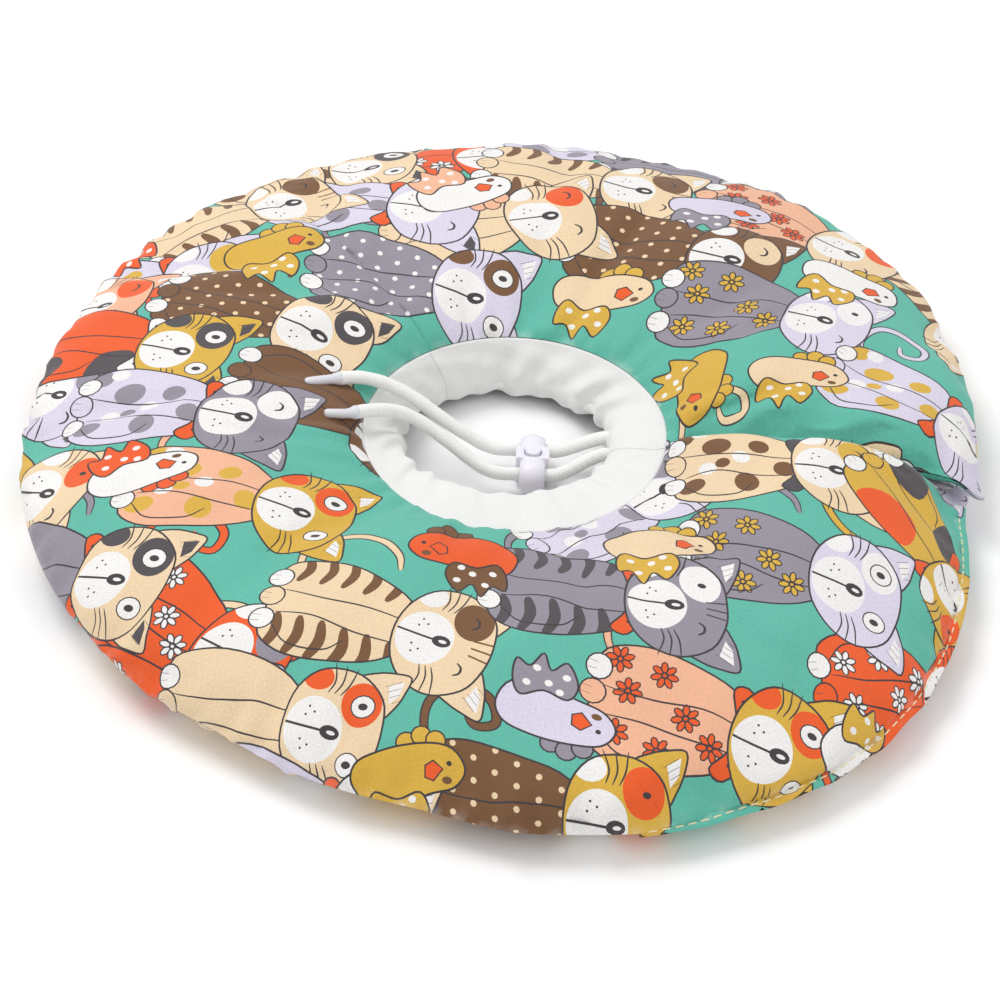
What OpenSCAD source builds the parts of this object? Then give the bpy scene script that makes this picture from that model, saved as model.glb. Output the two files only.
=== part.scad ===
// Soft pet recovery collar: a padded ring with a radial hook-and-loop closure, a gathered
// neck sleeve with a drawstring in its hem, and a spring cord lock on the drawstring.
// Millimetres. +Z is up, and the ring lies flat on z = 0 with its centre at the origin.
// +X points to the closure, +Y to the rear half.

/* [Ring] */
// Outer radius of the padded ring
ring_r = 150; // [145:1:155]
// Radius of the neck edge
neck_r = 47; // [46:0.5:49]
// Height of the seam round the neck edge
neck_z = 20; // [19:0.5:21]
// Height of the seam round the outer edge
rim_z = 10; // [9:0.5:11]
// Rise of the filled top above the line between the two seams
crown = 12.5; // [11:0.5:13]
// Thickness of the cotton cover
cover_t = 0.8; // [0.6:0.1:1]

/* [Closure] */
// Angle of the closure line from +X
closure_deg = -6; // [-8:1:-4]
// Angle at which the flattened front end stops under the flap
tongue_deg = 13; // [12:1:14]
// Height of the flattened front end
tongue_h = 10.4; // [9.5:0.1:10.6]
// Height of the flap's underside
flap_z = 12.3; // [12.2:0.1:13]
// Direction of the flap's fold line, which starts at the neck end of the closure
fold_deg = 46; // [44:1:48]
// Angle through which the flap folds back
flap_open = 50; // [40:5:50]
// Width of the hook and loop tapes
tape_w = 16; // [12:1:18]
// Length of the hook and loop tapes
tape_len = 74; // [60:1:76]

/* [Edge hem] */
// Width of the stitched edge hem on the front half
hem_w = 5; // [4:0.5:6]
// Angle at which the stitched edge hem starts
hem_from = -76; // [-80:1:-70]

/* [Neck sleeve] */
// Radius of the drawstring channel's centre line
channel_r = 30.7; // [30:0.1:31]
// Sideways place of the sleeve opening's centre
channel_x = 0.5; // [0:0.5:1]
// Front-to-back place of the sleeve opening's centre
channel_y = 6; // [5.5:0.5:6.5]
// Height of the drawstring channel's centre line
channel_z = 11; // [10.5:0.5:11.5]
// Outer radius of the folded channel
channel_tube_r = 3.2; // [3.1:0.1:3.3]

/* [Drawstring] */
// Diameter of the drawstring
cord_d = 4.2; // [3.8:0.1:4.2]
// Diameter of the aglets
aglet_d = 3; // [2.6:0.1:3.2]

/* [Cord lock] */
// Radius of the lock's round body
lock_r = 5.5; // [5.5:0.1:5.8]
// Length of the lock across the two cords
lock_len = 23; // [22:0.5:24]
// Half the thickness of the lock along the cords
lock_half_t = 3.9; // [3.6:0.1:4.2]
// Distance of each cord from the lock's middle
cord_offset = 5.8; // [5.8:0.1:6]
// Travel of the button
button_travel = 1.4; // [1:0.1:1.4]

/* [Hidden] */
$fn = 48;
GAP = 0.2;
CLEAR = 0.4;
FAR = 260;
STEPS = 14;
BULGE_POWER = 0.6;
DROP = 26;
half_fold = flap_open / 2;
seam_gap_deg = 0.2;
closure_gap_deg = 0.5;
apex = neck_r * [cos(closure_deg), sin(closure_deg)];
tape_start = 18;
tape_inset = 4;
tape_t = 0.5;
loop_t = 0.9;

// A section of the pad: [inner r, outer r, inner seam z, outer seam z, rise, floor, ceiling]
main_section = [neck_r, ring_r, neck_z, rim_z, crown, 0, 60];
hem_section = [neck_r, ring_r - hem_w, neck_z, rim_z, crown, 0, 60];
upper_section = [neck_r, ring_r, neck_z + 1, rim_z + 5, crown - 1, flap_z, 60];
tongue_section = [neck_r + 3, ring_r - 5, 6, 6, 8, 0, tongue_h];

// The lock's centre, and the heights inside it measured from that centre
lock_at = [6, 1.6, 6];
cord_lift = 0.8;
bore_r = 2.6;
block_half = [5.2, 3, 5.1];
post_r = 2.4;
post_hole_r = 2.65;
post_top = 6.2;
bar_half = [1.4, 7.3];
bar_z = [-3, -1.6];
slot_half = [1.7, 7.6];
slot_z = [-4.6, -1.2];
spring_r = 1;
spring_wire_r = 0.18;
spring_hole_r = 1.45;
spring_top = 3.8;
spring_turns = 6;

// Routes of the drawstring's two free ends, from the channel to the aglets
far_route = [
    [29, 10, 11], [27, 9.9, 10.8], [24, 9.4, 10], [20, 8.6, 8.7], [17, 8, 7.7], [14, 7.5, 7],
    [12, 7.4, 6.8], [4, 7.4, 6.8], [-4, 7.4, 6.8], [-8, 7.8, 7.4], [-12, 8.6, 9],
    [-17, 9.8, 11.6], [-22, 11.2, 14.4], [-27, 12.9, 17.4], [-32, 14.4, 20.2],
    [-37, 15.4, 22.6], [-42, 15.8, 24.6], [-47, 15.6, 26], [-51, 14.6, 26.8], [-55, 13, 27.4]
];
near_route = [
    [29, 2, 11], [27, 1.8, 10.8], [24, 0.8, 10], [20, -1.2, 8.7], [17, -2.8, 7.7],
    [14, -3.9, 7], [12, -4.2, 6.8], [4, -4.2, 6.8], [-4, -4.2, 6.8], [-8, -3.5, 7.4],
    [-12, -1.8, 8.8], [-17, 0.6, 11.4], [-22, 2.8, 14.2], [-27, 4.4, 17.2], [-32, 5.2, 20],
    [-37, 4.6, 22.4], [-42, 2.4, 24.4], [-46, 0, 25.7], [-49, -1.8, 26.4]
];
far_tip = [-65, 9, 28.7];
near_tip = [-58, -4.6, 27.9];

// ---- Pad sections ----

function bulge(s) = pow(max(0, sin(180 * s)), BULGE_POWER);
function spread(i) = (1 - cos(180 * i / STEPS)) / 2;
function mix_of(a, b, s) = a + (b - a) * s;

function shrunk(sec, g) = [
    sec[0] + g, sec[1] - g, sec[2], sec[3], sec[4] - g, sec[5] + g, sec[6] - g
];

function upper_line(sec) = [
    for (i = [0:STEPS])
        let (s = spread(i), z = mix_of(sec[2], sec[3], s) + sec[4] * bulge(s))
            [mix_of(sec[0], sec[1], s), min(sec[6], z)]
];

function lower_line(sec) = [
    for (i = [0:STEPS])
        let (s = spread(i), z = mix_of(sec[2], sec[3], s) - DROP * bulge(s))
            [mix_of(sec[0], sec[1], s), max(sec[5], z)]
];

function backwards(points) = [for (i = [len(points) - 1:-1:0]) points[i]];
function inner_part(points) = [for (i = [1:len(points) - 2]) points[i]];

module arc_of(from, to) {
    rotate([0, 0, from])
        rotate_extrude(angle = to - from)
            children();
}

module core(sec, from, to) {
    inner = shrunk(sec, cover_t + GAP);
    arc_of(from, to)
        polygon(concat(upper_line(inner), backwards(inner_part(lower_line(inner)))));
}

module top_skin(sec, from, to) {
    arc_of(from, to)
        polygon(concat(upper_line(sec), backwards(upper_line(shrunk(sec, cover_t)))));
}

module bottom_skin(sec, from, to) {
    arc_of(from, to)
        polygon(concat(lower_line(sec), backwards(lower_line(shrunk(sec, cover_t)))));
}

// ---- The closure's fold line ----

// Places children in the fold line's frame: X along the line, the flap on the -Y side
module at_fold() {
    translate([apex[0], apex[1], flap_z - GAP / 2])
        rotate([0, 0, fold_deg])
            children();
}

module fold_prism(points, start) {
    at_fold()
        translate([start, 0, 0])
            rotate([90, 0, 90])
                linear_extrude(FAR)
                    polygon(points);
}

// The room that the flap's solids may fill: its side leans back so that it can fold
module flap_room() {
    high = 40;
    fold_prism([[-GAP, 0], [-GAP - high * tan(half_fold), high], [-FAR, high], [-FAR, 0]], 0);
}

// The room cleared from the rear half, on both sides of the fold line and over the flap
module flap_clearance() {
    high = 40;
    lean = high * tan(half_fold);
    fold_prism([[GAP, -GAP], [GAP + lean, high], [-FAR, high], [-FAR, -GAP]], -3);
}

// ---- Pieces of the ring ----

module rear_top_cover() {
    color("mediumseagreen")
        difference() {
            union() {
                top_skin(upper_section, closure_deg, tongue_deg + 3);
                top_skin(main_section, tongue_deg + 3, 180 - seam_gap_deg);
            }
            flap_clearance();
        }
}

module rear_bottom_cover() {
    color("seagreen")
        difference() {
            union() {
                bottom_skin(upper_section, closure_deg, tongue_deg + 3);
                bottom_skin(main_section, tongue_deg + 3, 180 - seam_gap_deg);
            }
            flap_clearance();
        }
}

module rear_padding() {
    color("whitesmoke") {
        difference() {
            core(upper_section, closure_deg, tongue_deg + 3 - seam_gap_deg);
            flap_clearance();
        }
        difference() {
            core(main_section, tongue_deg + 3, 180 - seam_gap_deg);
            flap_clearance();
        }
    }
}

module flap_top_cover() {
    color("turquoise")
        intersection() {
            top_skin(upper_section, closure_deg, fold_deg);
            flap_room();
        }
}

module flap_bottom_cover() {
    color("darkturquoise")
        intersection() {
            bottom_skin(upper_section, closure_deg, fold_deg);
            flap_room();
        }
}

module flap_padding() {
    color("gainsboro")
        intersection() {
            core(upper_section, closure_deg, fold_deg);
            flap_room();
        }
}

module front_top_cover() {
    color("lightseagreen") {
        top_skin(main_section, -180 + seam_gap_deg, hem_from);
        top_skin(hem_section, hem_from, closure_deg - closure_gap_deg);
        top_skin(tongue_section, closure_deg - closure_gap_deg, tongue_deg);
    }
}

module front_bottom_cover() {
    color("teal") {
        bottom_skin(main_section, -180 + seam_gap_deg, hem_from);
        bottom_skin(hem_section, hem_from, closure_deg - closure_gap_deg);
        bottom_skin(tongue_section, closure_deg - closure_gap_deg, tongue_deg);
    }
}

module front_padding() {
    color("white") {
        core(main_section, -180 + seam_gap_deg, hem_from);
        core(hem_section, hem_from, closure_deg - closure_gap_deg);
        core(tongue_section, closure_deg - closure_gap_deg, tongue_deg);
    }
}

// The folded and stitched edge outside the front half's outer seam
module edge_hem() {
    hem_t = 1.5;
    color("darkseagreen")
        arc_of(hem_from, closure_deg - closure_gap_deg)
            translate([ring_r - hem_w + GAP, rim_z - hem_t / 2])
                square([hem_w - GAP, hem_t]);
}

// ---- Hook and loop tapes ----

module tape(thick) {
    translate([apex[0], apex[1], 0])
        rotate([0, 0, closure_deg])
            translate([tape_start, tape_inset, 0])
                cube([tape_len, tape_w, thick]);
}

module hook_tape() {
    color("dimgray")
        translate([0, 0, flap_z - 0.1 - tape_t])
            tape(tape_t);
}

module loop_tape() {
    color("silver")
        translate([0, 0, tongue_h + 0.1])
            tape(loop_t);
}

// ---- Neck sleeve and drawstring channel ----

// Everything in front of the left split and of the closure line, or behind them
module half_zone(side) {
    slope = tan(closure_deg);
    shift = side * CLEAR / 2;
    translate([0, 0, -1])
        linear_extrude(60)
            polygon([
                [0, shift], [-FAR, shift], [-FAR, side * FAR],
                [FAR, side * FAR], [FAR, FAR * slope + shift]
            ]);
}

// The filled funnel between the neck edge and the drawstring channel
module funnel(lift) {
    disc_t = 0.1;
    rim_gap = 0.5;
    translate([0, 0, lift])
        hull() {
            translate([0, 0, neck_z - 0.3])
                cylinder(r = neck_r - rim_gap, h = disc_t);
            translate([channel_x, channel_y, channel_z + channel_tube_r + CLEAR])
                cylinder(r = channel_r + 0.8, h = disc_t);
        }
}

module sleeve(side) {
    intersection() {
        difference() {
            funnel(0);
            funnel(0.9);
            translate([channel_x, channel_y, 0])
                cylinder(r = channel_r, h = 60);
        }
        half_zone(side);
    }
}

module at_channel() {
    translate([channel_x, channel_y, channel_z])
        children();
}

module channel(side) {
    wall = 0.6;
    intersection() {
        at_channel()
            rotate_extrude()
                translate([channel_r, 0])
                    difference() {
                        circle(channel_tube_r);
                        circle(channel_tube_r - wall);
                    }
        half_zone(side);
    }
}

module drawstring_arc(from, to, side) {
    intersection() {
        at_channel()
            arc_of(from, to)
                translate([channel_r, 0])
                    circle(d = cord_d);
        half_zone(side);
    }
}

module rear_sleeve() {
    color("ivory")
        sleeve(1);
}

module front_sleeve() {
    color("ivory")
        sleeve(-1);
}

// The rear channel has the slot on its inner side through which both cord ends leave
module rear_channel() {
    slot = [8, 14, 5.4];
    color("linen")
        difference() {
            channel(1);
            at_channel()
                translate([channel_r - slot[0] + 0.6, -slot[1] / 2, -slot[2] / 2])
                    cube(slot);
        }
}

module front_channel() {
    color("linen")
        channel(-1);
}

module rear_drawstring() {
    exit_deg = 13;
    color("snow") {
        drawstring_arc(exit_deg, 200, 1);
        drawstring_arc(-30, -exit_deg, 1);
    }
}

module front_drawstring() {
    color("snow")
        drawstring_arc(180, 345, -1);
}

// ---- Swept tubes ----

function unit(v) = v / norm(v);
function run_dir(pts, i) = unit(pts[min(i + 1, len(pts) - 1)] - pts[max(i - 1, 0)]);
function side_dir(d) = unit(cross(d, [0, 0, 1]));

function ring_points(pts, i, r, sides) =
    let (d = run_dir(pts, i), u = side_dir(d), v = cross(u, d))
        [for (k = [0:sides - 1]) pts[i] + r * (u * cos(360 * k / sides) + v * sin(360 * k / sides))];

module swept_tube(pts, r, sides) {
    n = len(pts);
    points = [for (i = [0:n - 1]) each ring_points(pts, i, r, sides)];
    walls = [
        for (i = [0:n - 2], k = [0:sides - 1])
            let (a = i * sides + k, b = i * sides + (k + 1) % sides)
                [a, b, b + sides, a + sides]
    ];
    near_cap = [for (k = [sides - 1:-1:0]) k];
    far_cap = [for (k = [0:sides - 1]) (n - 1) * sides + k];
    polyhedron(points = points, faces = concat(walls, [near_cap, far_cap]), convexity = 4);
}

module far_cord_end() {
    color("snow")
        swept_tube(far_route, cord_d / 2, 8);
}

module near_cord_end() {
    color("snow")
        swept_tube(near_route, cord_d / 2, 8);
}

// A slim tip that closes the end of a cord: it starts just past the cord's last point
module aglet(from, to) {
    way = to - from;
    long = norm(way);
    translate(from)
        rotate([0, acos(way[2] / long), atan2(way[1], way[0])])
            translate([0, 0, GAP]) {
                cylinder(d = aglet_d, h = long - GAP - aglet_d / 2);
                translate([0, 0, long - GAP - aglet_d / 2])
                    sphere(d = aglet_d);
            }
}

module far_aglet() {
    color("lavender")
        aglet(far_route[len(far_route) - 1] + [-1.4, 0.2, 0.4], far_tip);
}

module near_aglet() {
    color("lavender")
        aglet(near_route[len(near_route) - 1] + [-1.4, -0.2, 0.4], near_tip);
}

// ---- Cord lock ----

module lock_shell() {
    middle = lock_len / 2 - lock_r;
    intersection() {
        union() {
            rotate([90, 0, 0])
                cylinder(r = lock_r, h = 2 * middle, center = true);
            for (side = [-1, 1])
                translate([0, side * middle, 0])
                    sphere(r = lock_r);
        }
        cube([2 * lock_half_t, 2 * lock_len, 4 * lock_r], center = true);
    }
    cube(2 * block_half, center = true);
}

module lock_body() {
    color("lavender")
        translate(lock_at)
            difference() {
                lock_shell();
                for (side = [-1, 1])
                    translate([0, side * cord_offset, cord_lift])
                        rotate([0, 90, 0])
                            cylinder(r = bore_r, h = 20, center = true);
                translate([-slot_half[0], -slot_half[1], slot_z[0]])
                    cube([2 * slot_half[0], 2 * slot_half[1], slot_z[1] - slot_z[0]]);
                translate([0, 0, slot_z[0]])
                    cylinder(r = post_hole_r, h = 20);
            }
}

module lock_button() {
    color("thistle")
        translate(lock_at)
            difference() {
                union() {
                    translate([0, 0, bar_z[0]])
                        cylinder(r = post_r, h = post_top - bar_z[0]);
                    translate([-bar_half[0], -bar_half[1], bar_z[0]])
                        cube([2 * bar_half[0], 2 * bar_half[1], bar_z[1] - bar_z[0]]);
                }
                translate([0, 0, bar_z[0] - 1])
                    cylinder(r = spring_hole_r, h = spring_top + 0.1 - bar_z[0] + 1);
            }
}

module lock_spring() {
    per_turn = 10;
    bottom = slot_z[0] + spring_wire_r + 0.05;
    top = spring_top - spring_wire_r;
    count = spring_turns * per_turn;
    coil = [
        for (i = [0:count])
            let (turn = 360 * i / per_turn)
                [spring_r * cos(turn), spring_r * sin(turn), mix_of(bottom, top, i / count)]
    ];
    color("gray")
        translate(lock_at)
            swept_tube(coil, spring_wire_r, 5);
}

rear_top_cover();
rear_bottom_cover();
rear_padding();
rear_sleeve();
rear_channel();
rear_drawstring();
far_cord_end();
near_cord_end();
far_aglet();
near_aglet();
flap_top_cover();
flap_bottom_cover();
flap_padding();
hook_tape();
front_top_cover();
front_bottom_cover();
front_padding();
front_sleeve();
front_channel();
front_drawstring();
loop_tape();
edge_hem();
lock_body();
lock_spring();
lock_button();
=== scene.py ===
"""Looks of a soft padded pet collar: printed cover, gathered neck sleeve, drawstring and cord lock.

Shapes are worked out in millimetres in the frame's own axes and turned into metres as meshes are made.
"""

from math import cos, hypot, pi, radians, sin

import bmesh
import bpy
import numpy as np
from mathutils import Matrix, Vector
from mathutils.geometry import delaunay_2d_cdt
from mathutils.kdtree import KDTree


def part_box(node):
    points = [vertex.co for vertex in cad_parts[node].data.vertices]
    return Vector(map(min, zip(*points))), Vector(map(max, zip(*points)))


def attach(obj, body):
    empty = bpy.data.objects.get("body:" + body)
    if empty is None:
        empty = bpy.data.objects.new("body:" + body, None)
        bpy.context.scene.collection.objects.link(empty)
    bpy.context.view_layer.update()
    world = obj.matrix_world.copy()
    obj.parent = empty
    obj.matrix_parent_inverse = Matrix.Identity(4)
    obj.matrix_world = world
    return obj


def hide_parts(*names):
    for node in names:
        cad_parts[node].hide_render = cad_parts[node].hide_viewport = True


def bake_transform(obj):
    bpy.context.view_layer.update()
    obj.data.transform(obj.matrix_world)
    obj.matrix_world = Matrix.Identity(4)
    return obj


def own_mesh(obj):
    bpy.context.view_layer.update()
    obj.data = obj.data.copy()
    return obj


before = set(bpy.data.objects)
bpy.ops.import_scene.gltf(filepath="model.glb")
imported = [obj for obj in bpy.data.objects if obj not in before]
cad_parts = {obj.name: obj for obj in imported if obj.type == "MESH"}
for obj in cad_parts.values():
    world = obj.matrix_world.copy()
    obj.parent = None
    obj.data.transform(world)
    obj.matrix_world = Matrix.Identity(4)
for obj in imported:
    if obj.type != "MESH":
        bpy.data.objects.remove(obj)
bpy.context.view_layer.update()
MM = 0.001

# ---- Camera ----

VIEW_ELEVATION = radians(41.2)
VIEW_ROLL = radians(2.6)
VIEW_DISTANCE = 0.92
VIEW_LENS_MM = 106.9
VIEW_TARGET = Vector((-0.0035, -0.0063, -0.0024))


def make_camera():
    data = bpy.data.cameras.new("camera")
    data.lens = VIEW_LENS_MM
    data.clip_start = 0.05
    camera = bpy.data.objects.new("camera", data)
    back = Vector((0, -cos(VIEW_ELEVATION), sin(VIEW_ELEVATION)))
    level_up = Vector((0, sin(VIEW_ELEVATION), cos(VIEW_ELEVATION)))
    level_right = Vector((1, 0, 0))
    right = level_right * cos(VIEW_ROLL) + level_up * sin(VIEW_ROLL)
    up = level_up * cos(VIEW_ROLL) - level_right * sin(VIEW_ROLL)
    axes = Matrix((right, up, back)).transposed().to_4x4()
    camera.matrix_world = Matrix.Translation(VIEW_TARGET + back * VIEW_DISTANCE) @ axes
    bpy.context.collection.objects.link(camera)
    bpy.context.scene.camera = camera


# ---- Small helpers ----


def smoothstep(x):
    x = np.clip(x, 0, 1)
    return x * x * (3 - 2 * x)


def mix(a, b, w):
    return a + (b - a) * w


def new_object(name, mesh):
    obj = bpy.data.objects.new(name, mesh)
    bpy.context.collection.objects.link(obj)
    return obj


def mesh_object(name, points_mm, faces, material, smooth=True):
    mesh = bpy.data.meshes.new(name)
    mesh.from_pydata([tuple(p) for p in np.asarray(points_mm, float) * MM], [], faces)
    mesh.materials.append(material)
    if smooth:
        mesh.shade_smooth()
    mesh.validate()
    return new_object(name, mesh)


def spline(points, per_span=6, closed=False):
    """Points on a smooth curve through the given ones."""
    p = np.asarray(points, float)
    if closed:
        p = np.vstack([p[-1], p, p[0], p[1]])
    else:
        p = np.vstack([2 * p[0] - p[1], p, 2 * p[-1] - p[-2]])
    t = np.linspace(0, 1, per_span, endpoint=False)[:, None]
    parts = []
    for a, b, c, d in zip(p[:-3], p[1:-2], p[2:-1], p[3:]):
        parts.append(
            0.5 * (2 * b + (c - a) * t + (2 * a - 5 * b + 4 * c - d) * t**2 + (3 * b - a - 3 * c + d) * t**3)
        )
    curve = np.vstack(parts)
    return curve if closed else np.vstack([curve, p[-2]])


# ---- Materials ----


class Nodes:
    """A material's node tree, with short calls for the nodes used here."""

    def __init__(self, name):
        self.material = bpy.data.materials.new(name)
        self.material.use_nodes = True
        self.tree = self.material.node_tree
        self.shader = self.tree.nodes["Principled BSDF"]

    def add(self, kind, settings=None, **inputs):
        node = self.tree.nodes.new(kind)
        for key, value in (settings or {}).items():
            setattr(node, key, value)
        for key, value in inputs.items():
            self.put(node.inputs[key.replace("_", " ")], value)
        return node

    def put(self, socket, value):
        if hasattr(value, "is_output"):
            self.tree.links.new(value, socket)
        else:
            socket.default_value = value

    def math(self, operation, a, b=0.0):
        node = self.tree.nodes.new("ShaderNodeMath")
        node.operation = operation
        self.put(node.inputs[0], a)
        self.put(node.inputs[1], b)
        return node.outputs[0]

    def blend(self, factor, a, b, mode="MIX"):
        node = self.tree.nodes.new("ShaderNodeMix")
        node.data_type = "RGBA"
        node.blend_type = mode
        self.put(node.inputs[0], factor)
        self.put(node.inputs[6], a)
        self.put(node.inputs[7], b)
        return node.outputs[2]

    def range(self, value, low, high, to_low=0.0, to_high=1.0):
        node = self.add("ShaderNodeMapRange", Value=value)
        for index, number in enumerate((low, high, to_low, to_high), 1):
            node.inputs[index].default_value = number
        return node.outputs[0]

    def noise(self, vector, scale, detail=3.0, roughness=0.5):
        node = self.add("ShaderNodeTexNoise", Vector=vector, Scale=scale, Detail=detail, Roughness=roughness)
        return node.outputs["Fac"]

    def spread(self, noise, low, high):
        """The middle of a noise's values, spread from low to high."""
        return self.range(noise, 0.3, 0.7, low, high)

    def stripes(self, vector, scale, distortion, detail=2.0, direction="X"):
        kind = {"wave_type": "BANDS", "bands_direction": direction, "wave_profile": "SIN"}
        sockets = {"Vector": vector, "Scale": scale, "Distortion": distortion, "Detail": detail}
        return self.add("ShaderNodeTexWave", kind, **sockets).outputs["Fac"]

    def shaded(self, colour, shade):
        """A colour made lighter or darker by a shade, where 1 leaves it as it is."""
        grey = self.add("ShaderNodeCombineColor", Red=shade, Green=shade, Blue=shade).outputs[0]
        return self.blend(1.0, colour, grey, "MULTIPLY")

    def cloth_place(self):
        return self.add("ShaderNodeUVMap", {"uv_map": "cloth"}).outputs["UV"]

    def object_place(self):
        return self.add("ShaderNodeTexCoord").outputs["Object"]

    def bump(self, height, distance, strength=1.0, normal=None):
        node = self.add("ShaderNodeBump", Height=height, Distance=distance, Strength=strength)
        if normal is not None:
            self.put(node.inputs["Normal"], normal)
        return node.outputs[0]

    def finish(self, **sockets):
        for key, value in sockets.items():
            self.put(self.shader.inputs[key.replace("_", " ")], value)
        return self.material


def weave_height(n, vector, thread):
    """A plain weave: two crossing sets of threads, set a distance apart, in metres on the cloth."""
    heights = [n.stripes(vector, 0.314 / thread, 0.6, 1.0, direction) for direction in ("X", "Y")]
    return n.math("MULTIPLY", n.math("ADD", *heights), 0.5)


def printed_cotton():
    n = Nodes("printed_cotton")
    cloth = n.cloth_place()
    print_colour = n.add("ShaderNodeAttribute", {"attribute_name": "print"}).outputs["Color"]
    seam = n.add("ShaderNodeAttribute", {"attribute_name": "near_seam"}).outputs["Fac"]
    weave = weave_height(n, cloth, 0.00045)
    grain = n.noise(cloth, 1500, 2.0, 0.6)
    blotch = n.noise(cloth, 35, 3.0)
    shade = n.math("MULTIPLY", n.spread(grain, 0.90, 1.07), n.spread(blotch, 0.96, 1.03))
    shade = n.math("MULTIPLY", shade, n.range(weave, 0.0, 1.0, 0.95, 1.03))
    colour = n.shaded(print_colour, shade)
    worn = n.math("MULTIPLY", seam, n.range(n.noise(cloth, 160, 4.0), 0.45, 0.75, 0.0, 0.35))
    colour = n.blend(worn, colour, (0.80, 0.79, 0.76, 1))
    rough = n.spread(grain, 0.78, 0.92)
    normal = n.bump(n.noise(cloth, 260, 3.0), 0.0006, 0.25)
    normal = n.bump(weave, 0.00009, 0.5, normal)
    return n.finish(Base_Color=colour, Roughness=rough, Normal=normal, Sheen_Weight=0.12, Sheen_Roughness=0.5)


def white_cotton(name, tint, thread):
    n = Nodes(name)
    place = n.object_place()
    cloth = n.cloth_place()
    weave = weave_height(n, cloth, thread)
    grain = n.noise(place, 1800, 2.0)
    blotch = n.noise(place, 60, 3.0)
    shade = n.math("MULTIPLY", n.spread(grain, 0.97, 1.02), n.spread(blotch, 0.97, 1.01))
    colour = n.shaded(tint, shade)
    normal = n.bump(n.noise(place, 240, 4.0), 0.0008, 0.35)
    normal = n.bump(weave, 0.00008, 0.5, normal)
    rough = n.spread(grain, 0.82, 0.95)
    return n.finish(Base_Color=colour, Roughness=rough, Normal=normal, Sheen_Weight=0.15, Sheen_Roughness=0.5)


def braided_cord():
    n = Nodes("braided_cord")
    run = n.cloth_place()
    strands = []
    for turn in (0.7, -0.7):
        turned = n.add("ShaderNodeMapping", Vector=run)
        turned.inputs["Rotation"].default_value = (0, 0, turn)
        strands.append(n.stripes(turned.outputs[0], 300.0, 0.4))
    braid = n.math("MAXIMUM", *strands)
    fuzz = n.noise(n.object_place(), 2600, 3.0)
    shade = n.math("MULTIPLY", n.range(braid, 0.0, 1.0, 0.95, 1.01), n.spread(fuzz, 0.96, 1.02))
    colour = n.shaded((0.875, 0.865, 0.845, 1), shade)
    normal = n.bump(fuzz, 0.00015, 0.5)
    normal = n.bump(braid, 0.00016, 0.6, normal)
    return n.finish(Base_Color=colour, Roughness=n.spread(fuzz, 0.8, 0.95), Normal=normal, Sheen_Weight=0.2)


def moulded_plastic(name, tint, scratch_tint, rough, translucency):
    n = Nodes(name)
    place = n.object_place()
    cloud = n.noise(place, 220, 4.0)
    scuff = n.range(n.noise(place, 1400, 5.0, 0.7), 0.52, 0.72)
    colour = n.blend(n.spread(cloud, 0.0, 0.5), tint, scratch_tint)
    roughness = n.math("ADD", n.spread(cloud, rough - 0.06, rough + 0.06), n.math("MULTIPLY", scuff, 0.12))
    normal = n.bump(n.noise(place, 900, 3.0), 0.00004, 0.4)
    return n.finish(
        Base_Color=colour,
        Roughness=roughness,
        Normal=normal,
        Subsurface_Weight=translucency,
        Subsurface_Scale=0.002,
        Coat_Weight=0.15,
        Coat_Roughness=0.3,
    )


def fibre(name, tint, dark, scale, depth):
    n = Nodes(name)
    place = n.object_place()
    lump = n.noise(place, scale, 6.0, 0.75)
    colour = n.blend(n.spread(lump, 0.0, 1.0), dark, tint)
    normal = n.bump(lump, depth, 0.8)
    return n.finish(Base_Color=colour, Roughness=n.spread(lump, 0.85, 1.0), Normal=normal, Sheen_Weight=0.3)


def drawn_steel():
    n = Nodes("drawn_steel")
    place = n.object_place()
    line = n.noise(place, 4000, 2.0)
    colour = n.blend(line, (0.42, 0.42, 0.43, 1), (0.62, 0.62, 0.64, 1))
    return n.finish(
        Base_Color=colour,
        Metallic=1.0,
        Roughness=n.spread(line, 0.25, 0.45),
        Normal=n.bump(line, 0.00002, 0.3),
    )


def pale_floor():
    n = Nodes("pale_floor")
    place = n.object_place()
    tone = n.blend(n.noise(place, 30, 2.0), (0.93, 0.93, 0.93, 1), (0.95, 0.95, 0.95, 1))
    return n.finish(Base_Color=tone, Roughness=0.9)


PRINTED = printed_cotton()
WHITE_COTTON = white_cotton("white_cotton", (0.79, 0.785, 0.77, 1), 0.0004)
CORD_COTTON = braided_cord()
AGLET_PLASTIC = moulded_plastic("aglet_plastic", (0.72, 0.72, 0.76, 1), (0.62, 0.62, 0.68, 1), 0.35, 0.15)
LOCK_PLASTIC = moulded_plastic("lock_plastic", (0.80, 0.78, 0.86, 1), (0.76, 0.74, 0.83, 1), 0.42, 0.25)
HOOK_NYLON = fibre("hook_nylon", (0.80, 0.80, 0.79, 1), (0.50, 0.50, 0.50, 1), 900, 0.0008)
LOOP_NYLON = fibre("loop_nylon", (0.88, 0.88, 0.87, 1), (0.66, 0.66, 0.65, 1), 1600, 0.0006)
FILLING = fibre("fibre_filling", (0.92, 0.92, 0.91, 1), (0.74, 0.74, 0.73, 1), 120, 0.004)
THREAD = fibre("stitch_thread", (0.88, 0.80, 0.55, 1), (0.72, 0.62, 0.36, 1), 3000, 0.0001)
STEEL = drawn_steel()

# ---- Drawstring ends: routes as in the CAD model, in metres ----

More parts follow.
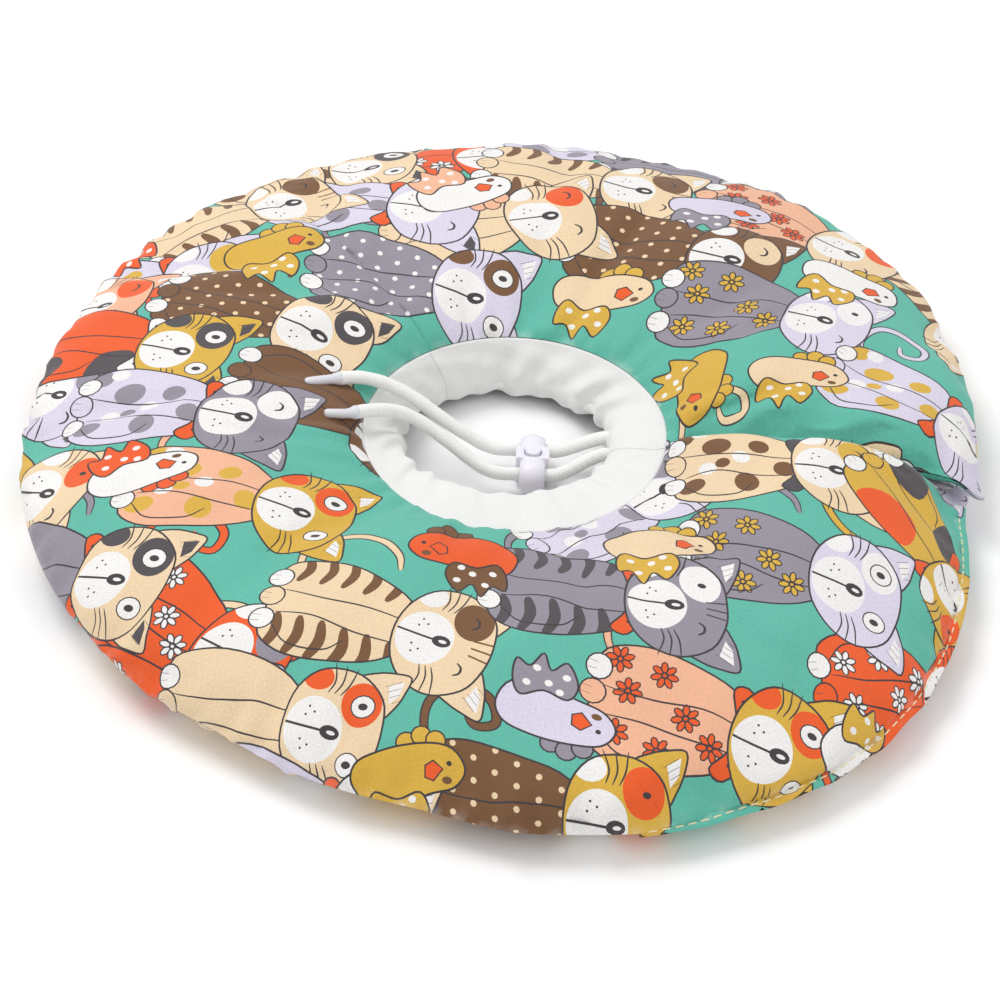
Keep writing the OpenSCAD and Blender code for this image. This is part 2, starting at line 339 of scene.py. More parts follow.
CORD_D = 0.0042
FAR_ROUTE = [
    (0.0315, 0.0101, 0.0112), (0.029, 0.010, 0.011), (0.027, 0.0099, 0.0108),
    (0.024, 0.0094, 0.010), (0.020, 0.0086, 0.0087),
    (0.017, 0.008, 0.0077), (0.014, 0.0075, 0.007), (0.012, 0.0074, 0.0068), (0.004, 0.0074, 0.0068),
    (-0.004, 0.0074, 0.0068), (-0.008, 0.0078, 0.0074), (-0.012, 0.0086, 0.009),
    (-0.017, 0.0098, 0.0116), (-0.022, 0.0112, 0.0144), (-0.027, 0.0129, 0.0174),
    (-0.032, 0.0144, 0.0202), (-0.037, 0.0154, 0.0226), (-0.042, 0.0158, 0.0246),
    (-0.047, 0.0156, 0.026), (-0.051, 0.0146, 0.0268), (-0.055, 0.013, 0.0274),
]
NEAR_ROUTE = [
    (0.0315, 0.0021, 0.0112), (0.029, 0.002, 0.011), (0.027, 0.0018, 0.0108),
    (0.024, 0.0008, 0.010), (0.020, -0.0012, 0.0087),
    (0.017, -0.0028, 0.0077), (0.014, -0.0039, 0.007), (0.012, -0.0042, 0.0068), (0.004, -0.0042, 0.0068),
    (-0.004, -0.0042, 0.0068), (-0.008, -0.0035, 0.0074), (-0.012, -0.0018, 0.0088),
    (-0.017, 0.0006, 0.0114), (-0.022, 0.0028, 0.0142), (-0.027, 0.0044, 0.0172),
    (-0.032, 0.0052, 0.020), (-0.037, 0.0046, 0.0224), (-0.042, 0.0024, 0.0244),
    (-0.046, 0.0, 0.0257), (-0.049, -0.0018, 0.0264),
]
FAR_TIP = (-0.065, 0.009, 0.0287)
NEAR_TIP = (-0.058, -0.0046, 0.0279)


def tube_faces(count, sides, base=0):
    """The faces of a closed tube, where its points are in count rings from the index base onwards."""
    faces = []
    for i in range(count - 1):
        for k in range(sides):
            a, b = base + i * sides + k, base + i * sides + (k + 1) % sides
            faces.append((a, b, b + sides, a + sides))
    faces.append(tuple(base + k for k in range(sides))[::-1])
    faces.append(tuple(base + (count - 1) * sides + k for k in range(sides)))
    return faces


def tube_mesh(name, path, radii, material, sides=16):
    """A closed round tube along a path in metres, with a radius for each of its points."""
    path = np.asarray(path, float)
    ways = np.gradient(path, axis=0)
    ways /= np.linalg.norm(ways, axis=1)[:, None]
    across = np.cross(ways, (0, 0, 1))
    across /= np.linalg.norm(across, axis=1)[:, None]
    over = np.cross(across, ways)
    turn = np.linspace(0, 2 * pi, sides, endpoint=False)
    rings = path[:, None] + np.asarray(radii)[:, None, None] * (
        across[:, None] * np.cos(turn)[None, :, None] + over[:, None] * np.sin(turn)[None, :, None]
    )
    obj = mesh_object(name, rings.reshape(-1, 3) / MM, tube_faces(len(path), sides), material)
    run = np.concatenate([[0], np.cumsum(np.linalg.norm(np.diff(path, axis=0), axis=1))])
    layer = obj.data.uv_layers.new(name="cloth")
    around = 2 * pi * float(np.max(radii)) / sides
    for polygon in obj.data.polygons:
        closes = len(polygon.vertices) == 4 and max(v % sides for v in polygon.vertices) == sides - 1
        for loop in polygon.loop_indices:
            i, k = divmod(obj.data.loops[loop].vertex_index, sides)
            layer.data[loop].uv = (run[i], (sides if closes and k == 0 else k) * around)
    return obj


def make_cord(name, node, route, tip, aglet_node):
    path = spline(route, 8)
    length = float(np.linalg.norm(np.diff(path, axis=0), axis=1).sum())
    wobble = 1 + 0.02 * np.sin(np.linspace(0, length / 0.006 * 2 * pi, len(path)))
    cord = tube_mesh(name, path, CORD_D / 2 * wobble, CORD_COTTON)
    aglet = make_aglet(name.replace("cord_end", "aglet"), path[-1], path[-1] - path[-3], tip)
    for piece, replaced, slot in ((cord, node, "white_cord"), (aglet, aglet_node, "aglet_plastic")):
        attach(piece, "rear_half")
        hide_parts(replaced)


def make_aglet(name, start, way, tip):
    """A thin plastic tube shrunk on the cord's end: it steps down from the cord and tapers to the tip."""
    start, tip = np.array(start), np.array(tip)
    way = way / np.linalg.norm(way)
    long = float(np.linalg.norm(tip - start))
    shape = [
        (-0.10, 2.02), (-0.06, 2.16), (0.0, 2.14), (0.08, 1.85), (0.16, 1.62), (0.22, 1.52), (0.30, 1.50),
        (0.34, 1.40), (0.38, 1.50), (0.80, 1.42), (0.90, 1.36), (0.96, 1.15), (0.99, 0.80), (1.0, 0.35),
    ]
    stations = np.array([t for t, _ in shape])[:, None]
    straight = mix(start, tip, stations)
    along = start + way * long * stations
    path = mix(along, straight, smoothstep(stations))
    return tube_mesh(name, path, [r * MM for _, r in shape], AGLET_PLASTIC, 20)


make_camera()
make_cord("far_cord_end_braid", "far_cord_end", FAR_ROUTE, FAR_TIP, "far_aglet")
make_cord("near_cord_end_braid", "near_cord_end", NEAR_ROUTE, NEAR_TIP, "near_aglet")

# ---- The ring's shape ----

NECK_R = 47.0
RING_R = 150.0
WIDTH = RING_R - NECK_R
NECK_SEAM_Z = 20.5
OUTER_SEAM_Z = 10.5
RISE = 12.4
DROP = 26.0
BULGE_POWER = 0.6
DROP_POWER = 1.15
CLOSURE = radians(-6)
FULL_TURN = 2 * pi
TONGUE_END = radians(13)
FLAP_Z = 12.6
TONGUE_H = 10.0
HEM_START = radians(-76)
HEM_W = 3.2
# Where the rear piece, the left piece and the front piece of the cover meet
LEFT_START = radians(127)
FRONT_START = radians(235)
# Where the ring's underside lifts most, in degrees
LIFTED_EDGE = 218
# Even shares of the way from the neck seam to the outer seam
GRID_COLUMNS = 57
SHARES = np.linspace(0, 1, GRID_COLUMNS)
SETTLE_FRAMES = 20
SETTLE_LIMIT = 3.0

SHAPE_RANDOM = np.random.default_rng(11)


def ripples(low, high, count, size):
    """A smooth random wave round the ring: returns a function of the angle."""
    turns = SHAPE_RANDOM.uniform(low, high, count).round()
    phases = SHAPE_RANDOM.uniform(0, 2 * pi, count)
    sizes = SHAPE_RANDOM.uniform(0.4, 1.0, count) * size / np.sqrt(count / 2)

    def wave(angle):
        return sum(a * np.sin(k * angle + p) for a, k, p in zip(sizes, turns, phases))

    return wave


def lumps(short, long, count, size):
    """A smooth random height over the plane, with waves between two lengths in millimetres."""
    lengths = SHAPE_RANDOM.uniform(short, long, count)
    ways = SHAPE_RANDOM.uniform(0, 2 * pi, count)
    phases = SHAPE_RANDOM.uniform(0, 2 * pi, count)

    def height(x, y):
        total = 0.0
        for length, way, phase in zip(lengths, ways, phases):
            total = total + np.sin(2 * pi * (x * cos(way) + y * sin(way)) / length + phase)
        return total * size / np.sqrt(count / 2)

    return height


OUTER_PUCKERS = ripples(34, 110, 26, 0.85)
OUTER_WAVES = ripples(8, 30, 12, 0.6)
NECK_PUCKERS = ripples(14, 44, 22, 0.7)
UNDER_PUCKERS = ripples(40, 110, 20, 0.7)
BIG_LUMPS = lumps(45, 110, 9, 0.8)
SMALL_LUMPS = lumps(14, 34, 18, 0.22)


# Waves of the outline, one to four a turn: how much each adds to the radius, as cosine and sine parts
OUTLINE_WAVES = ((0.5, 3.5), (-4.5, -1.5), (-3.5, 0.0), (-2.5, 1.5))


def outline_r(angle):
    """The ring's outer radius, which isn't a true circle."""
    r = RING_R + 4.7
    for k, (even, odd) in enumerate(OUTLINE_WAVES, start=1):
        r = r + even * np.cos(k * angle) + odd * np.sin(k * angle)
    return r - 2.0 * near(angle, LIFTED_EDGE, 30)


def front_outline_r(angle):
    """The front piece's outer radius: the hem and the closure draw it in, and it stays in under the flap."""
    a = (angle + pi) % (2 * pi) - pi
    low_side = smoothstep((radians(60) - a) / radians(20))
    hemmed = smoothstep((a - HEM_START) / radians(12)) * low_side
    at_closure = near(np.minimum(a, radians(-7)), -7, 9) * low_side
    tucked = smoothstep((a - CLOSURE) / 0.03) * low_side
    return outline_r(angle) - 2.2 * hemmed - 3.0 * at_closure - 4.5 * tucked


def near(angle, middle, width):
    """1 at an angle in degrees, falling away on both sides over a width in degrees."""
    away = (np.degrees(angle) - middle + 180) % 360 - 180
    return np.exp(-((away / width) ** 2))


def outer_seam_z(angle):
    """The height of the outer seam, which rides a little higher at the back and where the edge lifts."""
    return OUTER_SEAM_Z + 2.0 * np.sin(angle) + 2.5 * near(angle, LIFTED_EDGE, 30)


def hem_share(angle):
    """1 where the stitched edge hem is and 0 elsewhere, with a short ramp at each end."""
    a = (angle + pi) % (2 * pi) - pi
    return smoothstep((a - HEM_START) / radians(12)) * smoothstep((CLOSURE + 0.02 - a) / 0.02)


def seam_r(angle):
    return front_outline_r(angle) - HEM_W * hem_share(angle) + 0.7 * OUTER_WAVES(angle)


def section(angle, inner, outer, inner_z, outer_z, rise, top, floor):
    """Sections of the pad, one for each angle, at even steps of cloth from the neck seam outwards."""

    def col(values):
        return np.broadcast_to(np.asarray(values, float).reshape(-1, 1), (len(angle), 1))

    fine = (1 - np.cos(np.linspace(0, pi, 97))) / 2
    fine = np.broadcast_to(fine, (len(angle), len(fine)))
    full = np.sin(pi * fine).clip(0) ** BULGE_POWER
    seam = mix(col(inner_z), col(outer_z), fine)
    r = mix(col(inner), col(outer), fine)
    under = np.sin(pi * fine).clip(0) ** (DROP_POWER - 0.35 * near(col(angle), LIFTED_EDGE, 34))
    z = seam + col(rise) * full if top else np.maximum(col(floor), seam - DROP * under)
    steps = np.hypot(np.diff(r, axis=1), np.diff(z, axis=1))
    run = np.concatenate([np.zeros((len(angle), 1)), np.cumsum(steps, axis=1)], axis=1)
    r_even = np.array([np.interp(SHARES * a[-1], a, b) for a, b in zip(run, r)])
    z_even = np.array([np.interp(SHARES * a[-1], a, b) for a, b in zip(run, z)])
    return r_even, z_even


def add_puckers(angle, r, z, top):
    """Moves the section's points along its normals: gathers at the seams and lumps of filling."""
    s = SHARES[None, :]
    a = angle[:, None]
    dr, dz = np.gradient(r, axis=1), np.gradient(z, axis=1)
    size = np.hypot(dr, dz) + 1e-9
    side = 1.0 if top else -1.0
    nr, nz = -dz / size * side, dr / size * side
    x, y = r * np.cos(a), r * np.sin(a)
    from_outer, from_neck = (1 - s) * 112.0, s * 112.0

    def gathered(distance, reach):
        return distance / reach * np.exp(1 - distance / reach)

    if top:
        move = OUTER_PUCKERS(a) * gathered(from_outer, 3.5) + NECK_PUCKERS(a) * gathered(from_neck, 4.0)
        fade = smoothstep(from_outer / 10) * smoothstep(from_neck / 10)
        move = move + (BIG_LUMPS(x, y) + SMALL_LUMPS(x, y)) * fade
    else:
        move = UNDER_PUCKERS(a) * (gathered(from_outer, 3.0) + gathered(from_neck, 3.0))
        move = np.where(z < 0.6, 0, move)
    r, z = r + nr * move, z + nz * move
    if not top:
        z = np.maximum(z, 0.0)
    return r, z


def angle_steps(start, end, fine_start, fine_end):
    """Angles from start to end, about 0.8 degrees apart, and closer near an end that is rounded."""
    base = np.arange(start, end, radians(0.8))
    extra = []
    if fine_start:
        extra.append(start + np.linspace(0, radians(12), 60))
    if fine_end:
        extra.append(end - np.linspace(0, radians(24), 110))
    return np.unique(np.concatenate([base, [end], *extra]).round(6))


def eased(distance, width):
    """The place in plan for cloth at that distance from the sewn end, which is steep near the seam."""
    part = np.clip(distance / width, 0, 1)
    return np.where(distance < width, width * (1 - np.cos(part * pi / 2)), distance)


CLOSURE_BOW = 8.0
CORNER_DROOP = 5.0


def closure_bow(s):
    """How far the closure's edge bows away from a straight line, towards the back, in millimetres."""
    return CLOSURE_BOW * np.sin(pi * np.clip(s, 0, 1)) ** 1.2


def rear_grid():
    angle = angle_steps(CLOSURE, LEFT_START, True, False)
    lift = smoothstep((radians(34) - angle) / radians(26))
    floor = FLAP_Z * smoothstep((radians(27) - angle) / radians(14))
    sizes = dict(
        inner=NECK_R - 0.4,
        outer=outline_r(angle) + 1.3 * near(angle, -4, 7) + 0.7 * OUTER_WAVES(angle) - 1.5 * lift,
        inner_z=NECK_SEAM_Z + 1.0 * lift,
        outer_z=outer_seam_z(angle) + 4.5 * lift,
        rise=RISE - 0.4 * lift,
        floor=floor,
    )
    grids = []
    width = 11.0
    for top in (True, False):
        r, z = section(angle, top=top, **sizes)
        if not top:
            z = np.maximum(z, floor[:, None])
        r, z = add_puckers(angle, r, z, top)
        if not top:
            z = np.maximum(z, floor[:, None])
        distance = r * (angle[:, None] - CLOSURE)
        full = np.sin(np.clip(distance / width, 0, 1) * pi / 2)
        end_z = FLAP_Z + mix(7.5, 6.0, np.sin(pi * SHARES).clip(0) ** 0.35)
        z = mix(end_z[None, :], z, full)
        z = z - CORNER_DROOP * smoothstep((SHARES - 0.88) / 0.12)[None, :] * near(angle, -6, 9)[:, None]
        bow = closure_bow(SHARES)[None, :] * np.exp(-distance / 28.0)
        a = CLOSURE + (eased(distance, width) + bow) / r
        grids.append(np.stack([r * np.cos(a), r * np.sin(a), z], axis=-1))
    return {"angle": angle, "top": grids[0], "bottom": grids[1]}


def front_grid():
    start, end = LEFT_START, FULL_TURN + TONGUE_END
    angle = angle_steps(start, end, False, True)
    grids = []
    for top in (True, False):
        r, z = section(angle, NECK_R - 0.4, seam_r(angle), NECK_SEAM_Z, outer_seam_z(angle), RISE, top, 0.0)
        r, z = add_puckers(angle, r, z, top)
        flat_r, flat_z = section(angle, NECK_R + 3.5, RING_R - 9, 5.5, 5.5, TONGUE_H - 5.5, top, 0.0)
        beyond = r * (angle[:, None] - (FULL_TURN + CLOSURE)) - closure_bow(SHARES)[None, :]
        beyond = beyond - 7.0 * (1 - SHARES[None, :]) ** 6
        share = smoothstep((beyond + 9.0) / 19.0)
        r, z = mix(r, flat_r, share), mix(z, flat_z, share)
        distance = r * (end - angle[:, None])
        width = 5.0
        full = np.sin(np.clip(distance / width, 0, 1) * pi / 2)
        z = mix(5.0, z, full)
        a = end - eased(distance, width) / r
        grids.append(np.stack([r * np.cos(a), r * np.sin(a), z], axis=-1))
    return {"angle": angle, "top": grids[0], "bottom": grids[1]}


def grid_normals(grid, up):
    along = np.gradient(grid, axis=0)
    across = np.gradient(grid, axis=1)
    normal = np.cross(across, along)
    normal /= np.linalg.norm(normal, axis=2)[:, :, None] + 1e-12
    return normal if up else -normal


def settle(grid, top_side, quiet):
    """Lets one side of the cover settle under the filling's pressure, with its seams held.

    The grid moves with it. quiet says, for an angle, how much of the move is left out, as where the
    cloth is held flat under a tape."""
    side = "top" if top_side else "bottom"
    whole = grid[side]
    rows = np.unique(np.append(np.arange(0, len(whole), 2), len(whole) - 1))
    cols = np.arange(0, GRID_COLUMNS, 2)
    coarse = whole[rows][:, cols]
    n, m = coarse.shape[:2]
    faces = []
    for i in range(n - 1):
        for j in range(m - 1):
            a = i * m + j
            quad = (a, a + 1, a + m + 1, a + m)
            faces.append(quad if top_side else quad[::-1])
    pad = mesh_object("settling", coarse.reshape(-1, 3), faces, PRINTED)
    held = pad.vertex_groups.new(name="held")
    edge = [i * m + j for i in range(n) for j in range(m) if i in (0, n - 1) or j in (0, m - 1)]
    held.add(edge, 1.0, "REPLACE")
    cloth = pad.modifiers.new("cloth", "CLOTH")
    rules = cloth.settings
    rules.quality = 5
    rules.mass = 0.1
    rules.tension_stiffness = 8
    rules.compression_stiffness = 8
    rules.shear_stiffness = 3
    rules.bending_stiffness = 0.02
    rules.use_pressure = True
    rules.uniform_pressure_force = 4
    rules.vertex_group_mass = "held"
    rules.shrink_min = -0.035
    rules.effector_weights.gravity = 0
    cloth.point_cache.frame_start = 1
    cloth.point_cache.frame_end = SETTLE_FRAMES
    scene = bpy.context.scene
    for frame_number in range(1, SETTLE_FRAMES + 1):
        scene.frame_set(frame_number)
    settled = pad.evaluated_get(bpy.context.evaluated_depsgraph_get()).to_mesh()
    place = np.empty(n * m * 3, np.float32)
    settled.vertices.foreach_get("co", place)
    moved = place.reshape(n, m, 3) / MM - coarse
    scene.frame_set(1)
    bpy.data.objects.remove(pad)
    far = np.linalg.norm(moved, axis=2)
    moved = moved * np.minimum(1, SETTLE_LIMIT / (far + 1e-9))[:, :, None]
    moved = moved * (1 - quiet(grid["angle"][rows]))[:, None, None]
    angle, s = np.meshgrid(grid["angle"], SHARES, indexing="ij")
    full = sample(moved, grid["angle"][rows], angle.ravel(), s.ravel()).reshape(whole.shape)
    for _ in range(2):
        full[1:-1] = (full[:-2] + 2 * full[1:-1] + full[2:]) / 4
        full[:, 1:-1] = (full[:, :-2] + 2 * full[:, 1:-1] + full[:, 2:]) / 4
    grid[side] = whole + full
    grid[side][:, :, 2] = np.maximum(grid[side][:, :, 2], 0)


def sample(grid, angles, angle, s):
    """The grid's value at each angle and each share s of the way from the neck seam outwards."""
    i = np.clip(np.interp(angle, angles, np.arange(len(angles))), 0, len(angles) - 1.001)
    j = np.clip(s, 0, 1) * (grid.shape[1] - 1.001)
    i0, j0 = i.astype(int), j.astype(int)
    fi, fj = (i - i0)[:, None], (j - j0)[:, None]
    before = mix(grid[i0, j0], grid[i0, j0 + 1], fj)
    after = mix(grid[i0 + 1, j0], grid[i0 + 1, j0 + 1], fj)
    return mix(before, after, fi)


# ---- The print: drawn as flat shapes, in millimetres, on the cloth laid flat ----


def rgb(red, green, blue):
    """A colour given as it is seen on a screen, 0 to 255, turned to light."""
    seen = np.array([red, green, blue]) / 255
    return np.where(seen <= 0.04045, seen / 12.92, ((seen + 0.055) / 1.055) ** 2.4)


INKS = {
    "teal": rgb(91, 180, 161),
    "dark": rgb(60, 54, 56),
    "cream": rgb(231, 205, 168),
    "lavender": rgb(212, 206, 224),
    "orange": rgb(230, 88, 28),
    "mustard": rgb(212, 170, 62),
    "brown": rgb(116, 79, 48),
    "grey": rgb(144, 138, 150),
    "peach": rgb(234, 177, 144),
    "white": rgb(234, 232, 230),
    "charcoal": rgb(78, 72, 76),
}
INK_NAMES = list(INKS)
LINE = 0.3
CAT_SIZE = 0.94
CHICK_SIZE = 0.95


class Drawing:
    """Closed shapes in painting order. A shape may be kept inside an earlier one."""

    def __init__(self):
        self.shapes = []
        self.inks = []
        self.inside = []
        self.place = (0.0, 0.0, 0.0, 1.0, 1.0)

    def at(self, x, y, turn, size=1.0, flip=1.0):
        self.place = (x, y, radians(turn), size, flip)

    def fill(self, points, ink, inside=None):
        x0, y0, turn, size, flip = self.place
        p = np.asarray(points, float) * (size, size * flip)
        turned = p @ np.array(((cos(turn), sin(turn)), (-sin(turn), cos(turn))))
        self.shapes.append(turned + (x0, y0))
        self.inks.append(INK_NAMES.index(ink))
        self.inside.append(inside)
        return len(self.shapes) - 1

    def outlined(self, points, ink, line=LINE, inside=None):
        """A dark outline with the colour inside it."""
        self.fill(grown(points, line), "dark", inside)
        return self.fill(grown(points, -line), ink, inside)

    def stroke(self, points, width, ink="dark", inside=None, tapered=True, smooth=5):
        path = spline(points, smooth) if len(points) > 2 and smooth > 1 else np.asarray(points, float)
        way = np.gradient(path, axis=0)
        way /= np.linalg.norm(way, axis=1)[:, None] + 1e-9
        side = np.stack([-way[:, 1], way[:, 0]], 1)
        part = np.linspace(0, 1, len(path))[:, None]
        half = width / 2 * (0.35 + 0.65 * np.sin(pi * part) ** 0.5 if tapered else 1.0)
        return self.fill(np.vstack([path + side * half, (path - side * half)[::-1]]), ink, inside)


def grown(points, by):
    p = np.asarray(points, float)
    way = np.roll(p, -1, axis=0) - np.roll(p, 1, axis=0)
    way /= np.linalg.norm(way, axis=1)[:, None] + 1e-9
    area = np.sum(p[:, 0] * np.roll(p[:, 1], -1) - np.roll(p[:, 0], -1) * p[:, 1])
    side = np.stack([way[:, 1], -way[:, 0]], 1) * np.sign(area)
    return p + side * by


def oval(x, y, rx, ry, turn=0.0, count=None):
    count = count or int(np.clip(max(rx, ry) * 4.2, 8, 40))
    t = np.linspace(0, 2 * pi, count, endpoint=False)
    px, py = rx * np.cos(t), ry * np.sin(t)
    a = radians(turn)
    return np.stack([x + px * cos(a) - py * sin(a), y + px * sin(a) + py * cos(a)], 1)


def daisy(d, x, y, size, petal="mustard", middle="mustard", inside=None):
    for k in range(7):
        a = 2 * pi * k / 7 + x
        px, py = x + 2.1 * size * cos(a), y + 2.1 * size * sin(a)
        d.outlined(oval(px, py, 1.45 * size, 0.85 * size, np.degrees(a), 8), petal, 0.22, inside)
    d.fill(oval(x, y, 1.0 * size, 1.0 * size, 0, 8), "dark", inside)
    d.fill(oval(x, y, 0.5 * size, 0.5 * size, 0, 6), middle, inside)


# A cat lies along x, with its paws at the left and its head at the right
BODY = [
    (-36, -6), (-35, -15), (-25, -19.5), (-10, -17), (4, -11), (11, 0),
    (4, 10), (-8, 15), (-24, 17.5), (-35, 14), (-37, 4),
]
HEAD = [
    (2.5, 0), (4.5, -10), (11, -17), (20, -19), (28, -14.5), (31.5, -6),
    (32, 3), (29.5, 12), (21, 18), (11, 17), (4.5, 10),
]
COLLAR = [(-1, -12), (4, -14), (9, -6), (10, 3), (6, 13), (1, 12), (4, 2), (3, -6)]
LARGE_SPOTS = [
    (-30, -11, 4.5, 3.4), (-22, 6, 5, 4), (-12, -10, 4, 4.4), (-8, 7, 3.6, 3),
    (-33, 12, 3.4, 4), (-20, -2, 2.6, 2), (0, -3, 3.4, 4),
]
FLOWERS = [(-28, -10), (-27, 3), (-16, -12), (-18, 10), (-10, -1), (-2, -7), (-31, 12)]
EAR = [(20, 15.5), (25, 19.5), (31, 20.8), (35.5, 20.5), (35.2, 15.5), (33.5, 10), (29, 5)]
INNER_EAR = [(30, 16.5), (34, 18.8), (33.6, 14), (31.5, 11)]
CREASES = [
    [(8, -6), (-8, -6.5), (-22, -5), (-33, -6)],
    [(8, 2), (-6, 3), (-20, 2), (-34, 3)],
    [(-33, -10), (-26, -16), (-15, -15), (-10, -10)],
]
CHICK_BODY = [
    (-15, 1), (-12, -6), (-3, -8), (6, -6), (14, -4.5),
    (18, 0), (15, 5.5), (7, 7.5), (-4, 7.5), (-12, 6),
]
CHICK_WING = [
    (-9, -3), (-3, -6), (4, -5), (6, -10), (2, -16),
    (-2, -12.5), (-5, -17), (-8, -12), (-12, -13), (-12, -7),
]


def coat_pattern(d, pattern, body, spot):
    if pattern == "flowers":
        for x, y in FLOWERS:
            daisy(d, x, y, 1.15, spot, spot, body)
    elif pattern == "spots":
        for x, y, rx, ry in LARGE_SPOTS:
            d.fill(oval(x, y, rx, ry, 20), spot, body)
        for x, y in ((-25, -4), (-14, 1), (-28, 14)):
            d.fill(oval(x, y, 3, 2.6), "white", body)
    elif pattern == "stripes":
        for x in range(-33, 4, 7):
            d.stroke([(x, -20), (x + 2.5, -13), (x + 1, -6)], 3.4, spot, body)
            d.stroke([(x + 2, 19), (x + 4, 13), (x + 2, 7)], 3.0, spot, body)
    elif pattern == "dots":
        for k, x in enumerate(range(-34, 8, 6)):
            for y in range(-17 + 3 * (k % 2), 18, 6):
                d.fill(oval(x, y, 0.9, 0.9, 0, 8), spot, body)
    elif pattern == "patches":
        d.fill(spline([(-38, -18), (-26, -20), (-20, -10), (-29, -5), (-38, -8)], 4, True), spot, body)
        d.fill(spline([(-22, 4), (-10, 2), (-4, 12), (-14, 20), (-26, 16)], 4, True), "orange", body)
        d.fill(spline([(-10, -18), (2, -14), (2, -4), (-8, -6)], 4, True), "charcoal", body)


def cat(d, x, y, turn, coat, pattern, spot, face, mark, collar, flip, eyes):
    d.at(x, y, turn, CAT_SIZE, flip)
    body = d.outlined(spline(BODY, 4, True), coat)
    coat_pattern(d, pattern, body, spot)
    for crease in CREASES:
        d.stroke(crease, 0.55, inside=body)
    for paw_y in (-9, 0, 8):
        paw = oval(-36, paw_y, 3.6, 3.9, 0, 14)
        d.outlined(paw, "white" if paw_y else coat, 0.25)
        d.stroke([(-39, paw_y - 1.2), (-36.5, paw_y - 1)], 0.4)
        d.stroke([(-39, paw_y + 1.2), (-36.5, paw_y + 1)], 0.4)
    if collar:
        band = d.outlined(spline(COLLAR, 4, True), collar)
        for k in range(-2, 3):
            d.fill(oval(6.2 - 0.5 * k * k, 4.75 * k, 0.7, 0.7, 0, 6), "dark", band)
    for side in (-1, 1):
        d.outlined(spline([(x, y * side) for x, y in EAR], 3, True), face)
        d.fill([(x, y * side) for x, y in INNER_EAR], "charcoal" if mark in ("charcoal", "grey") else "white")
        for k in range(4):
            d.stroke([(29 + 1.1 * k, (16 - 1.5 * k) * side), (33.2 + 0.3 * k, (18.6 - 2.0 * k) * side)], 0.42)
    head = d.outlined(spline(HEAD, 4, True), face)
    d.fill(oval(24, 9, 6.0, 6.8, 15), mark, head)
    d.fill(oval(9.5, 14, 4.5, 4.0), mark if eyes == "open" else "white", head)
    if pattern == "stripes":
        for k in (-1, 0, 1):
            d.stroke([(33, 3.2 * k), (26, 2.6 * k)], 1.7, spot, head)
    d.fill(oval(12, -1, 8.6, 9.4), "white" if face != "white" else "cream", head)
    d.stroke([(3.4, -0.4), (15, -0.8)], 0.7, inside=head, tapered=False)
    d.fill(oval(17, -0.8, 2.9, 2.0, 0, 14), "dark")
    d.fill(oval(17.4, -0.8, 1.3, 0.6, 0, 10), "white")
    for side in (-1, 1):
        for k in range(3):
            whisker = [(13.5 + 1.8 * k, 10 * side), (14.5 + 2.2 * k, 14 * side), (13 + 3.4 * k, 19.5 * side)]
            d.stroke(whisker, 0.5)
        for dot in ((9, 3.4), (11.4, 4.6), (9.6, 5.9)):
            d.fill(oval(dot[0], dot[1] * side - 0.8, 0.38, 0.38, 0, 6), "dark")
    for side in (-1, 1):
        ex, ey = 24.5, 8.6 * side
        if eyes == "open":
            d.outlined(oval(ex, ey, 3.6, 3.4, 0, 14), "white", 0.2)
            d.fill(oval(ex, ey, 1.5, 1.1, 0, 10), "dark")
        elif eyes == "wink" and side > 0:
            d.fill(oval(ex, ey, 1.3, 0.9, 0, 10), "dark")
        else:
            lid = [(ex - 0.6, ey - 2.3), (ex + 1.0, ey - 1.0), (ex + 1.0, ey + 1.0), (ex - 0.6, ey + 2.3)]
            d.stroke(lid, 0.75)


def tail(d, x, y, turn, coat, flip, curled):
    d.at(x, y, turn, CAT_SIZE, flip)
    if curled:
        curl = [(-30, 8), (-36, 18), (-35, 28), (-27, 33), (-18, 31), (-16, 24), (-22, 22), (-25, 26)]
    else:
        curl = [(-31, 8), (-33, 20), (-26, 29), (-15, 31), (-6, 26), (-3, 20)]
    d.stroke(spline(curl, 6), 3.3, "dark", smooth=1)
    d.stroke(spline(curl, 6), 2.2, "mustard" if coat == "white" else coat, smooth=1)


def chick(d, x, y, turn, coat, wing, flip):
    d.at(x, y, turn, CHICK_SIZE, flip)
    for cx, cy in ((2, 8.4), (6.5, 9.6), (10.5, 7.8)):
        d.outlined(oval(cx, cy, 2.9, 2.8, 0, 12), wing, 0.25)
    d.outlined(spline(CHICK_BODY, 4, True), coat)
    panel = d.outlined(spline(CHICK_WING, 4, True), wing)
    for wx, wy in ((-8, -7), (-2, -8.5), (2.5, -11.5), (-6, -12), (1.5, -6.6)):
        d.fill(oval(wx, wy, 1.2, 1.0, 0, 8), "white", panel)
    d.outlined([(6, -1.4), (8.4, -2.6), (11.6, 0.2), (9, 2.6), (6.4, 1.6)], "orange", 0.25)
    d.fill(oval(13.6, 1.6, 0.8, 0.7, 0, 8), "dark")
    d.fill(oval(12.4, -2.6, 1.5, 1.0, 0, 8), "brown")


